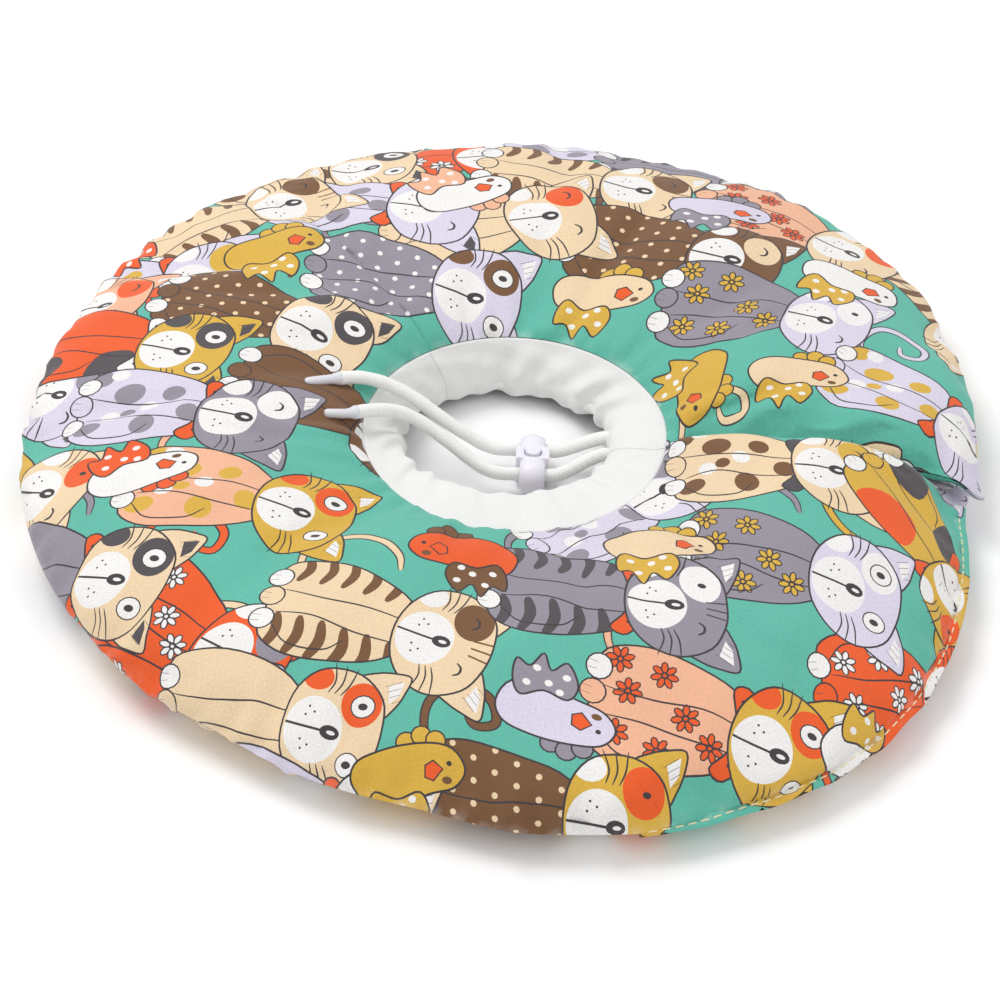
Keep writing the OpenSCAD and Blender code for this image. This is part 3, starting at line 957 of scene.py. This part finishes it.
# Each cat: place, turn, coat, pattern, its ink, face, patch, collar, flip, eyes
CATS = [
    (-25, 124, 8, "orange", "flowers", "white", "orange", "cream", None, 1, "shut"),
    (-64, 124, 4, "cream", "spots", "brown", "cream", "charcoal", None, 1, "open"),
    (24, 140, -4, "lavender", "spots", "grey", "lavender", "grey", None, -1, "shut"),
    (104, 124, -30, "lavender", "stripes", "grey", "cream", "mustard", "mustard", 1, "wink"),
    (58, 126, -8, "grey", "stripes", "charcoal", "grey", "white", None, 1, "shut"),
    (134, 74, -58, "cream", "stripes", "brown", "cream", "orange", None, 1, "shut"),
    (86, 97, -26, "peach", "flowers", "orange", "cream", "orange", None, 1, "wink"),
    (21, 113, -12, "cream", "stripes", "brown", "cream", "brown", None, 1, "shut"),
    (48, 76, -16, "brown", "dots", "cream", "brown", "cream", None, 1, "shut"),
    (78, 49, -12, "grey", "flowers", "mustard", "lavender", "white", None, 1, "wink"),
    (-8, 88, 14, "cream", "plain", "brown", "cream", "orange", None, 1, "shut"),
    (-44, 96, -9, "lavender", "spots", "grey", "lavender", "grey", "orange", 1, "shut"),
    (-86, 96, 28, "cream", "stripes", "brown", "cream", "brown", None, 1, "shut"),
    (-30, 60, -8, "grey", "dots", "white", "lavender", "brown", None, 1, "open"),
    (-113, 62, -4, "lavender", "spots", "mustard", "lavender", "mustard", "orange", 1, "wink"),
    (-142, 58, -20, "peach", "spots", "white", "peach", "orange", None, 1, "shut"),
    (-76, 38, -24, "brown", "dots", "cream", "cream", "charcoal", None, 1, "open"),
    (-150, 16, -30, "lavender", "plain", "grey", "lavender", "grey", None, 1, "shut"),
    (-116, 26, -18, "orange", "patches", "charcoal", "mustard", "charcoal", "white", 1, "open"),
    (-52, -2, -20, "brown", "plain", "cream", "brown", "charcoal", None, -1, "shut"),
    (-96, -8, -14, "lavender", "spots", "grey", "grey", "white", "orange", 1, "shut"),
    (-148, -28, -30, "mustard", "plain", "orange", "cream", "orange", None, 1, "wink"),
    (-76, -47, -14, "peach", "spots", "mustard", "mustard", "orange", None, 1, "open"),
    (-86, -96, -38, "orange", "flowers", "white", "orange", "grey", None, 1, "shut"),
    (-124, -70, -22, "grey", "plain", "brown", "cream", "charcoal", "orange", 1, "open"),
    (-98, -118, -20, "orange", "flowers", "white", "lavender", "grey", "orange", 1, "shut"),
    (34, -36, 40, "lavender", "spots", "grey", "lavender", "grey", None, 1, "shut"),
    (84, -23, -8, "cream", "spots", "brown", "cream", "mustard", "charcoal", 1, "shut"),
    (-33, -96, -16, "cream", "stripes", "brown", "cream", "brown", None, 1, "shut"),
    (-62, -124, -14, "cream", "plain", "brown", "cream", "orange", None, 1, "open"),
    (129, -48, -62, "mustard", "patches", "charcoal", "mustard", "orange", "orange", -1, "wink"),
    (118, -98, 8, "orange", "flowers", "white", "orange", "cream", None, -1, "shut"),
    (82, -64, -16, "grey", "flowers", "mustard", "lavender", "white", None, 1, "open"),
    (56, -117, -12, "peach", "flowers", "orange", "mustard", "orange", "orange", 1, "open"),
    (29, -79, -5, "grey", "stripes", "charcoal", "grey", "white", "orange", 1, "wink"),
    (14, -145, 2, "brown", "dots", "cream", "mustard", "orange", None, 1, "wink"),
    (-52, -152, -14, "lavender", "spots", "grey", "cream", "orange", "orange", 1, "shut"),
    (130, 10, -24, "lavender", "spots", "mustard", "lavender", "mustard", "orange", 1, "shut"),
]
# Each chick: place, turn, coat, wing, flip
CHICKS = [
    (-77, 71, 20, "mustard", "mustard", 1), (24, 61, -8, "cream", "mustard", 1),
    (87, 17, 2, "cream", "mustard", 1), (58, 101, -10, "lavender", "grey", 1),
    (41, -57, 2, "cream", "mustard", 1), (12, -118, -10, "lavender", "grey", -1),
    (-26, -140, 10, "mustard", "mustard", 1), (-12, -68, 178, "orange", "brown", -1),
    (58, 18, -100, "mustard", "mustard", 1), (-108, -36, 20, "white", "orange", -1),
    (96, -120, -30, "white", "mustard", -1), (98, 70, -20, "white", "mustard", 1),
    (-20, 102, 30, "white", "peach", -1), (-124, 88, 40, "white", "orange", 1),
]


def draw_print():
    """All the tails first, then the cats over them, then the chicks."""
    d = Drawing()
    for k, (x, y, turn, coat, _, _, _, _, _, flip, _) in enumerate(CATS):
        tail(d, x, y, turn, coat, flip, k % 2)
    for details in CATS:
        cat(d, *details)
    for details in CHICKS:
        chick(d, *details)
    return d


SHEET_OUT = RING_R + 7


def circle_points(r, step):
    count = int(2 * pi * r / step)
    t = np.linspace(0, 2 * pi, count, endpoint=False)
    return np.stack([r * np.cos(t), r * np.sin(t)], 1)


def radial_points(angle, step):
    r = np.arange(NECK_R, SHEET_OUT + 0.01, step)
    return np.stack([r * cos(angle), r * sin(angle)], 1)


def inside_polygon(points, polygon):
    """Which points a closed outline goes round, even where the outline crosses itself."""
    x, y = points[:, :1], points[:, 1:]
    x0, y0 = polygon[:, 0], polygon[:, 1]
    x1, y1 = np.roll(x0, -1), np.roll(y0, -1)
    side = (x1 - x0) * (y - y0) - (y1 - y0) * (x - x0)
    upwards = (y0 <= y) & (y1 > y) & (side > 0)
    downwards = (y0 > y) & (y1 <= y) & (side < 0)
    return upwards.sum(axis=1) != downwards.sum(axis=1)


def cut_print(drawing):
    """Cuts the flat cloth into triangles along every shape's edge, and says each triangle's ink."""
    points, edges = [], []

    def add_line(p, closed):
        start = len(points)
        points.extend(Vector(q) for q in p)
        ids = list(range(start, len(points)))
        edges.extend(zip(ids[:-1], ids[1:]))
        if closed:
            edges.append((ids[-1], ids[0]))

    for r, step in ((NECK_R, 1.5), (RING_R, 2.0), (SHEET_OUT, 2.0)):
        add_line(circle_points(r, step), True)
    for angle in (CLOSURE, TONGUE_END, LEFT_START, FRONT_START, HEM_START):
        add_line(radial_points(angle, 2.4), False)
    for p in drawing.shapes:
        r = np.hypot(p[:, 0], p[:, 1])
        if r.max() > NECK_R and r.min() < SHEET_OUT:
            add_line(p, True)
    for r in np.arange(NECK_R + 2.2, SHEET_OUT, 2.3):
        points.extend(Vector(q) for q in circle_points(r, 2.5))
    for end, side in ((CLOSURE, 1), (CLOSURE, -1), (TONGUE_END, -1)):
        for away in (0.5, 1.2, 2.2, 3.4, 4.8, 6.4, 8.2, 10.2, 12.4):
            for r in np.arange(NECK_R + 1, RING_R, 2.6):
                points.append(Vector((r * cos(end + side * away / r), r * sin(end + side * away / r))))
    cut = delaunay_2d_cdt(points, edges, [], 0, 1e-4, False)
    flat = np.array([tuple(v) for v in cut[0]])
    triangles = np.array([f for f in cut[2]])
    middle = flat[triangles].mean(axis=1)
    order = np.argsort(middle[:, 0])
    sorted_x = middle[order, 0]
    ink = np.full(len(triangles), INK_NAMES.index("teal"))
    covered = {}
    wanted = set(drawing.inside)
    for k, p in enumerate(drawing.shapes):
        first, last = np.searchsorted(sorted_x, (p[:, 0].min(), p[:, 0].max()))
        found = order[first:last]
        found = found[(middle[found, 1] > p[:, 1].min()) & (middle[found, 1] < p[:, 1].max())]
        found = found[inside_polygon(middle[found], p)]
        if drawing.inside[k] is not None:
            found = np.intersect1d(found, covered[drawing.inside[k]])
        if k in wanted:
            covered[k] = found
        ink[found] = drawing.inks[k]
    return flat, triangles, ink


def drop_unused(triangles):
    used, packed = np.unique(triangles, return_inverse=True)
    return used, packed.reshape(triangles.shape)


INK_TABLE = np.array([INKS[name] for name in INK_NAMES])


def printed_mesh(name, points_mm, triangles, ink, normals, cloth_uv, near_seam):
    """A mesh that carries the print as a colour on each face corner."""
    mesh = bpy.data.meshes.new(name)
    mesh.vertices.add(len(points_mm))
    mesh.vertices.foreach_set("co", (np.asarray(points_mm) * MM).astype(np.float32).ravel())
    count = len(triangles)
    mesh.loops.add(count * 3)
    mesh.polygons.add(count)
    mesh.loops.foreach_set("vertex_index", triangles.astype(np.int32).ravel())
    mesh.polygons.foreach_set("loop_start", np.arange(0, count * 3, 3, dtype=np.int32))
    mesh.polygons.foreach_set("loop_total", np.full(count, 3, dtype=np.int32))
    mesh.update(calc_edges=True)
    colour = np.ones((count * 3, 4), np.float32)
    colour[:, :3] = np.repeat(INK_TABLE[ink], 3, axis=0)
    mesh.attributes.new("print", "FLOAT_COLOR", "CORNER").data.foreach_set("color", colour.ravel())
    mesh.attributes.new("near_seam", "FLOAT", "POINT").data.foreach_set("value", near_seam.astype(np.float32))
    layer = mesh.uv_layers.new(name="cloth")
    layer.data.foreach_set("uv", (cloth_uv[triangles.ravel()] * MM).astype(np.float32).ravel())
    mesh.materials.append(PRINTED)
    mesh.shade_smooth()
    mesh.normals_split_custom_set_from_vertices([tuple(n) for n in normals])
    return new_object(name, mesh)


def cover_piece(name, cloth, grid, start, end, top):
    """The part of the cut cloth between two angles, laid on the pad's top or underside."""
    flat, triangles, ink = cloth
    middle = flat[triangles].mean(axis=1)
    angle = np.arctan2(middle[:, 1], middle[:, 0])
    angle = start + (angle - start) % (2 * pi)
    r = np.hypot(middle[:, 0], middle[:, 1])
    chosen = (angle < end) & (r < RING_R) & (r > NECK_R)
    used, packed = drop_unused(triangles[chosen])
    p = flat[used]
    tiny = 1e-4
    a = start - tiny + (np.arctan2(p[:, 1], p[:, 0]) - start + tiny) % (2 * pi)
    s = (np.hypot(p[:, 0], p[:, 1]) - NECK_R) / WIDTH
    side = "top" if top else "bottom"
    points = sample(grid[side], grid["angle"], a, s)
    normals = sample(grid[side + "_normal"], grid["angle"], a, s)
    normals /= np.linalg.norm(normals, axis=1)[:, None] + 1e-12
    seam = np.maximum(1 - (1 - s) * WIDTH / 2.5, 1 - s * WIDTH / 2.5).clip(0, 1)
    if not top:
        packed = packed[:, ::-1]
    return printed_mesh(name, points, packed, ink[chosen], normals, p, seam)


def facing(obj):
    """Turns every face the right way out, where a mesh is closed."""
    mesh = bmesh.new()
    mesh.from_mesh(obj.data)
    bmesh.ops.recalc_face_normals(mesh, faces=mesh.faces)
    mesh.to_mesh(obj.data)
    mesh.free()


def bend_with_flap(piece):
    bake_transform(piece)


def bend_with_spread(piece):
    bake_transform(piece)


def flat_under_flap(angle):
    return 0.85 * smoothstep((radians(30) - angle) / radians(8))


def flat_on_tongue(angle):
    return 0.85 * smoothstep((angle - FULL_TURN - CLOSURE) / radians(4))


def make_cover():
    """Cuts the print into the cloth, shapes the two pads and lays the cloth over them as six panels."""
    cloth = cut_print(draw_print())
    rear, front = rear_grid(), front_grid()
    settle(rear, True, np.zeros_like)
    settle(rear, False, flat_under_flap)
    settle(front, True, flat_on_tongue)
    settle(front, False, flat_on_tongue)
    for grid in (rear, front):
        grid["top_normal"] = grid_normals(grid["top"], True)
        grid["bottom_normal"] = grid_normals(grid["bottom"], False)
    for top in (True, False):
        side = "top" if top else "bottom"
        piece = cover_piece(f"rear_{side}_panel", cloth, rear, CLOSURE, LEFT_START, top)
        bend_with_flap(piece)
        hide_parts(f"rear_{side}_cover", f"flap_{side}_cover")
        left = cover_piece(f"left_{side}_panel", cloth, front, LEFT_START, FRONT_START, top)
        bend_with_spread(left)
        right = cover_piece(f"front_{side}_panel", cloth, front, FRONT_START, FULL_TURN + TONGUE_END, top)
        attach(right, "front_half")
        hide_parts(f"front_{side}_cover")
    return cloth, rear, front


CLOTH, REAR, FRONT = make_cover()

# ---- Filling: soft pads inside the cover ----


def loop_solid(name, rows, material):
    """A closed solid through rings of points, one ring for each row, with its two ends filled."""
    rows = np.asarray(rows)
    count, ring = rows.shape[:2]
    points = np.concatenate([rows.reshape(-1, 3), rows[0].mean(axis=0)[None], rows[-1].mean(axis=0)[None]])
    faces = []
    for i in range(count - 1):
        for k in range(ring):
            a, b = i * ring + k, i * ring + (k + 1) % ring
            faces.append((a, b, b + ring, a + ring))
    first, last = count * ring, count * ring + 1
    for k in range(ring):
        nxt = (k + 1) % ring
        faces.append((nxt, k, first))
        faces.append(((count - 1) * ring + k, (count - 1) * ring + nxt, last))
    solid = mesh_object(name, points, faces, material)
    facing(solid)
    middle = rows[:, ring // 4]
    along = np.append(0, np.cumsum(np.linalg.norm(np.diff(middle, axis=0), axis=1)))
    round_it = np.append(0, np.cumsum(np.linalg.norm(np.diff(rows[count // 2], axis=0), axis=1)))
    layer = solid.data.uv_layers.new(name="cloth")
    for polygon in solid.data.polygons:
        places = [v % ring for v in polygon.vertices]
        wraps = max(places) == ring - 1 and min(places) == 0
        for loop in polygon.loop_indices:
            v = min(solid.data.loops[loop].vertex_index, count * ring - 1)
            i, k = divmod(v, ring)
            extra = round_it[-1] + round_it[1] if wraps and k == 0 else round_it[k]
            layer.data[loop].uv = (along[i] * MM, extra * MM)
    return solid


FILLING_INSET = 2.6


def make_filling(name, grid, start, end):
    first, last = np.searchsorted(grid["angle"], (start, end))
    rows = np.unique(np.append(np.arange(first, last, 4), last - 1))
    cols = np.arange(3, GRID_COLUMNS - 3, 3)
    top = (grid["top"] - grid["top_normal"] * FILLING_INSET)[rows][:, cols]
    bottom = (grid["bottom"] - grid["bottom_normal"] * FILLING_INSET)[rows][:, cols]
    pad = loop_solid(name, np.concatenate([top, bottom[:, ::-1]], axis=1), FILLING)
    return pad


def make_fillings():
    rear = make_filling("rear_filling", REAR, CLOSURE + radians(8), LEFT_START)
    bend_with_flap(rear)
    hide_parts("rear_padding", "flap_padding")
    tip = FULL_TURN + TONGUE_END - radians(3)
    front = make_filling("front_filling", FRONT, LEFT_START + radians(0.5), tip)
    bend_with_spread(front)
    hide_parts("front_padding")


make_fillings()

# ---- Neck sleeve and the channel round its hem ----

HEM_X, HEM_Y = -2.6, 6.0
HEM_R = 34.8
HEM_Z = 11.0
HEM_TILT = 4.6
CHANNEL_W, CHANNEL_H = 2.3, 3.3
SLEEVE_THICK = 0.6
PLEATS = ripples(15, 30, 9, 1.0)
SCALLOPS = ripples(13, 38, 10, 0.9)
SLEEVE_WAVES = ripples(4, 11, 6, 0.7)


def hem_angle(angle):
    """Where on the hem the cloth from that angle of the neck seam ends."""
    away = (angle - CLOSURE + pi) % (2 * pi) - pi
    return angle - radians(8) * np.exp(-((away / radians(40)) ** 2))


def hem_middle(turn):
    r = HEM_R + SLEEVE_WAVES(turn) * 0.8
    return np.stack([HEM_X + r * np.cos(turn), HEM_Y + r * np.sin(turn), HEM_Z - HEM_TILT * np.sin(turn)], -1)


def outward(turn):
    return np.stack([np.cos(turn), np.sin(turn), 0 * turn], -1)


UP = np.array((0.0, 0.0, 1.0))


def hem_gather(angle):
    """How far the gathered cloth stands in from the hem's middle line, in millimetres."""
    return 0.45 * PLEATS(angle) + 0.6 * SCALLOPS(angle)


def channel_ring(angle, a, grow):
    """Points round the channel's section at a turn of a radians: 0 is outwards, pi is towards the opening."""
    turn = hem_angle(angle)
    side = np.sign(cos(a)) * abs(cos(a)) ** 0.8
    high = np.sign(sin(a)) * abs(sin(a)) ** 0.9
    inner = hem_gather(angle) * (1 - side) / 2
    drop = 0.5 * SCALLOPS(angle) * (1 - high) / 2
    away = (CHANNEL_W * side * grow - inner)[:, None]
    lift = (CHANNEL_H * high * grow - drop)[:, None]
    return hem_middle(turn) + outward(turn) * away + UP * lift


def make_sleeve(name, grid, start, end):
    """Cloth from the neck seam down to the hem, turned under at the opening, round the channel's face."""
    angle = np.linspace(start, end, int((end - start) / radians(0.9)))
    turn = hem_angle(angle)
    rim = sample(grid["top"], grid["angle"], angle, np.zeros(len(angle)))
    rim[:, 2] = np.maximum(rim[:, 2], NECK_SEAM_Z)
    out = outward(angle)
    hidden = rim + out * 1.2 - UP * 0.8
    lip = rim - out * 0.5 - UP * 0.15
    landing = channel_ring(angle, radians(135), 1.12)
    drop = (lip - landing)[:, 2:]
    lip_pull = lip - out * 2.5 - UP * 0.30 * drop
    landing_pull = landing + outward(turn) * 1.5 + UP * (0.25 * drop + 1.8)
    rows = [hidden, lip]
    for t in np.linspace(0, 1, 17)[1:]:
        u = 1 - t
        p = u**3 * lip + 3 * u * u * t * lip_pull + 3 * u * t * t * landing_pull + t**3 * landing
        deep = (PLEATS(angle) * sin(pi * t) * t * 1.1 + SLEEVE_WAVES(angle + t) * 0.35 * sin(pi * t))[:, None]
        rows.append(p - out * deep * 0.75 + UP * deep * 0.55)
    for a in (155, 175, 195, 215, 235, 255, 272):
        rows.append(channel_ring(angle, radians(a), 1.12))
    front = np.stack(rows, axis=1)
    along = np.gradient(front, axis=0)
    across = np.gradient(front, axis=1)
    normal = np.cross(along, across)
    normal /= np.linalg.norm(normal, axis=2)[:, :, None]
    if normal[:, 8].mean(axis=0)[2] < 0:
        normal = -normal
    thick = np.full(front.shape[1], SLEEVE_THICK)
    thick[-9:] = 0.18
    back = front - normal * thick[None, :, None]
    sleeve = loop_solid(name, np.concatenate([front, back[:, ::-1]], axis=1), WHITE_COTTON)
    return sleeve


def make_channel(name, start, end):
    angle = np.linspace(start, end, int((end - start) / radians(0.8)))
    rows = [channel_ring(angle, a, 1.0) for a in np.linspace(0, 2 * pi, 22, endpoint=False)]
    channel = loop_solid(name, np.stack(rows, axis=1), WHITE_COTTON)
    return channel


def make_drawstring(name, start, end):
    turn = hem_angle(np.linspace(start, end, int((end - start) / radians(2.5))))
    return tube_mesh(name, hem_middle(turn) * MM, np.full(len(turn), CORD_D / 2 * 0.95), CORD_COTTON, 12)


def make_neck():
    gap = radians(0.1)
    ranges = {
        "rear": (REAR, CLOSURE + gap, LEFT_START),
        "front": (FRONT, LEFT_START, FULL_TURN + CLOSURE - gap),
    }
    for half, (grid, start, end) in ranges.items():
        sleeve = make_sleeve(f"{half}_sleeve_cloth", grid, start, end)
        channel = make_channel(f"{half}_channel_roll", start, end)
        cord = make_drawstring(f"{half}_drawstring_run", start + radians(12), end - radians(6))
        for piece, kind in ((sleeve, "sleeve"), (channel, "channel"), (cord, "drawstring")):
            if half == "rear":
                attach(piece, "rear_half")
            else:
                bend_with_spread(piece)
            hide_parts(f"{half}_{kind}")


make_neck()

# ---- Stitched edge hem ----

HEM_ROLLS = ripples(20, 60, 12, 0.7)
HEM_EDGE = RING_R + 6.5


def hem_surface(angle, part, side):
    """Points of the flat edge hem: part runs from its seam to its edge, side is 1 above and -1 below."""
    r = seam_r(angle) - 0.8 + part * (front_outline_r(angle) - seam_r(angle) + 0.8)
    wave = HEM_ROLLS(angle) * part
    thick = 0.75 * np.sqrt(np.clip(1 - part**6, 0, 1))
    groove = 0.3 * np.exp(-(((part - 0.45) / 0.12) ** 2))
    z = outer_seam_z(angle) - 0.6 * part + 0.7 * wave + side * (thick - groove)
    return np.stack([r * np.cos(angle), r * np.sin(angle), z], -1)


def make_hem():
    flat, triangles, ink = CLOTH
    middle = flat[triangles].mean(axis=1)
    angle = np.arctan2(middle[:, 1], middle[:, 0])
    r = np.hypot(middle[:, 0], middle[:, 1])
    chosen = (angle > HEM_START) & (angle < CLOSURE) & (r > RING_R) & (r < HEM_EDGE)
    used, packed = drop_unused(triangles[chosen])
    p = flat[used]
    a = np.clip(np.arctan2(p[:, 1], p[:, 0]), HEM_START, CLOSURE)
    part = np.clip((np.hypot(p[:, 0], p[:, 1]) - RING_R) / (HEM_EDGE - RING_R), 0, 1)
    points = np.concatenate([hem_surface(a, part, 1), hem_surface(a, part, -1)])
    both = np.concatenate([packed, packed[:, ::-1] + len(p)])
    tilt = np.stack([np.cos(a) * part**4, np.sin(a) * part**4, 0 * a], -1)
    normals = np.concatenate([tilt + UP, tilt - UP])
    normals /= np.linalg.norm(normals, axis=1)[:, None]
    seam = np.concatenate([1 - part, 1 - part]).clip(0, 1)
    inks, places = np.tile(ink[chosen], 2), np.tile(p, (2, 1))
    hem = printed_mesh("edge_hem_cloth", points, both, inks, normals, places, seam)
    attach(hem, "front_half")
    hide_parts("edge_hem")


def make_stitches():
    """The line of stitches along the hem, as one piece of short thread lengths on its upper side."""
    pitch, long, thick = 3.6, 2.5, 0.24
    step = pitch / RING_R
    shape = (-1.0, -0.7, 0.0, 0.7, 1.0)
    sides = 8
    points, faces = [], []
    for middle in np.arange(HEM_START + step, CLOSURE - step, step):
        base = len(points)
        for t in shape:
            a = middle + t * long / 2 / RING_R
            centre = hem_surface(np.array([a]), np.array([0.45]), 1)[0] + UP * 0.12 * (1 - abs(t) ** 3)
            out = np.array((cos(a), sin(a), 0))
            size = thick * (0.35 if abs(t) == 1 else 1.0)
            for k in range(sides):
                turn = 2 * pi * k / sides
                points.append(centre + out * size * cos(turn) + UP * size * sin(turn))
        faces.extend(tube_faces(len(shape), sides, base))
    stitches = mesh_object("hem_stitches", points, faces, THREAD)
    facing(stitches)
    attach(stitches, "front_half")


make_hem()
make_stitches()

# ---- Tapes, lock and spring ----


def copy_of(node, name, material):
    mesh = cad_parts[node].data.copy()
    mesh.name = name
    mesh.materials.clear()
    mesh.materials.append(material)
    return new_object(name, mesh)


def surface_height(grid_side):
    """A function that gives the height of one side of the cover at a place in plan, in metres."""
    places = grid_side.reshape(-1, 3) * MM
    tree = KDTree(len(places))
    for k, p in enumerate(places):
        tree.insert((p[0], p[1], 0), k)
    tree.balance()

    def height(x, y):
        found = tree.find_n((x, y, 0), 8)
        weights = [1 / (d + 0.0003) for _, _, d in found]
        return sum(w * places[k][2] for w, (_, k, _) in zip(weights, found)) / sum(weights)

    return height


def make_tape(node, name, material, height, bowed, stand_off, set_back):
    """A strip of tape sewn on a side of the cover: the CAD node's own strip, laid on the cloth.

    It stops short of the ring's edge by set_back, in millimetres."""
    tape = copy_of(node, name, material)
    low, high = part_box(node)
    sewn_z = low.z if stand_off > 0 else high.z
    mesh = bmesh.new()
    mesh.from_mesh(tape.data)
    bmesh.ops.remove_doubles(mesh, verts=mesh.verts, dist=1e-6)
    bmesh.ops.dissolve_limit(mesh, angle_limit=0.01, verts=mesh.verts, edges=mesh.edges)
    bmesh.ops.subdivide_edges(mesh, edges=mesh.edges, cuts=14, use_grid_fill=True)
    bmesh.ops.triangulate(mesh, faces=mesh.faces)
    for vertex in mesh.verts:
        share = (hypot(vertex.co.x, vertex.co.y) / MM - NECK_R) / WIDTH
        vertex.co.x -= set_back * MM * share
        if bowed:
            vertex.co.y += float(closure_bow(share)) * MM
        vertex.co.z += height(vertex.co.x, vertex.co.y) + stand_off - sewn_z
    mesh.to_mesh(tape.data)
    mesh.free()
    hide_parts(node)
    return tape


def make_tapes():
    flap_height, tongue_height = surface_height(REAR["bottom"]), surface_height(FRONT["top"])

    def under_flap(x, y):
        return min(flap_height(x, y), FLAP_Z * MM)

    hooks = make_tape("hook_tape", "hook_tape_strip", HOOK_NYLON, under_flap, True, -0.0001, 4.0)
    bend_with_flap(hooks)
    loops = make_tape("loop_tape", "loop_tape_strip", LOOP_NYLON, tongue_height, False, 0.0001, 10.0)
    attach(loops, "front_half")


def make_moulded(node, name, voxel, body):
    """A moulded part with its edges softened: the CAD node's own shape, remeshed finely and smoothed."""
    part = copy_of(node, name, LOCK_PLASTIC)
    remesh = part.modifiers.new("fine", "REMESH")
    remesh.mode = "VOXEL"
    remesh.voxel_size = voxel
    soften = part.modifiers.new("soften", "SMOOTH")
    soften.factor = 0.5
    soften.iterations = 3
    bpy.context.view_layer.update()
    shaped = bpy.data.meshes.new_from_object(part.evaluated_get(bpy.context.evaluated_depsgraph_get()))
    part.modifiers.clear()
    part.data = shaped
    shaped.materials.clear()
    shaped.materials.append(LOCK_PLASTIC)
    shaped.shade_smooth()
    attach(part, body)
    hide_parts(node)


def make_spring():
    """The spring under the button: the CAD coil in steel, carried with the lock's body. The real spring
    shortens as the button is pressed; this copy keeps its shape.
    """
    spring = copy_of("lock_spring", "lock_spring_coil", STEEL)
    spring.data.shade_smooth()
    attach(spring, "cord_lock")
    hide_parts("lock_spring")
    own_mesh(spring)


make_tapes()
make_moulded("lock_body", "lock_shell", 0.00022, "cord_lock")
make_moulded("lock_button", "lock_plunger", 0.00016, "lock_button")
make_spring()


# ---- Floor and lights ----

FLOOR_Z = -0.3
FLOOR_HALF = 3000
# Each light: name, place and size in metres, power in watts
LIGHTS = (("key", (-0.7, 0.5, 1.3), 0.9, 11.0), ("fill", (0.9, -0.7, 1.0), 1.1, 3.0))


def make_stage():
    corners = [(x * FLOOR_HALF, y * FLOOR_HALF, FLOOR_Z) for x, y in ((-1, -1), (1, -1), (1, 1), (-1, 1))]
    floor = mesh_object("floor", corners, [(0, 1, 2, 3)], pale_floor(), False)
    world = bpy.data.worlds.new("studio")
    world.use_nodes = True
    background = world.node_tree.nodes["Background"].inputs
    background["Color"].default_value = (1, 1, 1, 1)
    background["Strength"].default_value = 0.76
    bpy.context.scene.world = world
    for name, place, size, power in LIGHTS:
        data = bpy.data.lights.new(name, "AREA")
        data.shape = "DISK"
        data.size = size
        data.energy = power
        light = bpy.data.objects.new(name, data)
        light.location = place
        light.rotation_euler = (-Vector(place)).to_track_quat("-Z", "Y").to_euler()
        bpy.context.collection.objects.link(light)
    bpy.context.scene.view_settings.view_transform = "Standard"


make_stage()
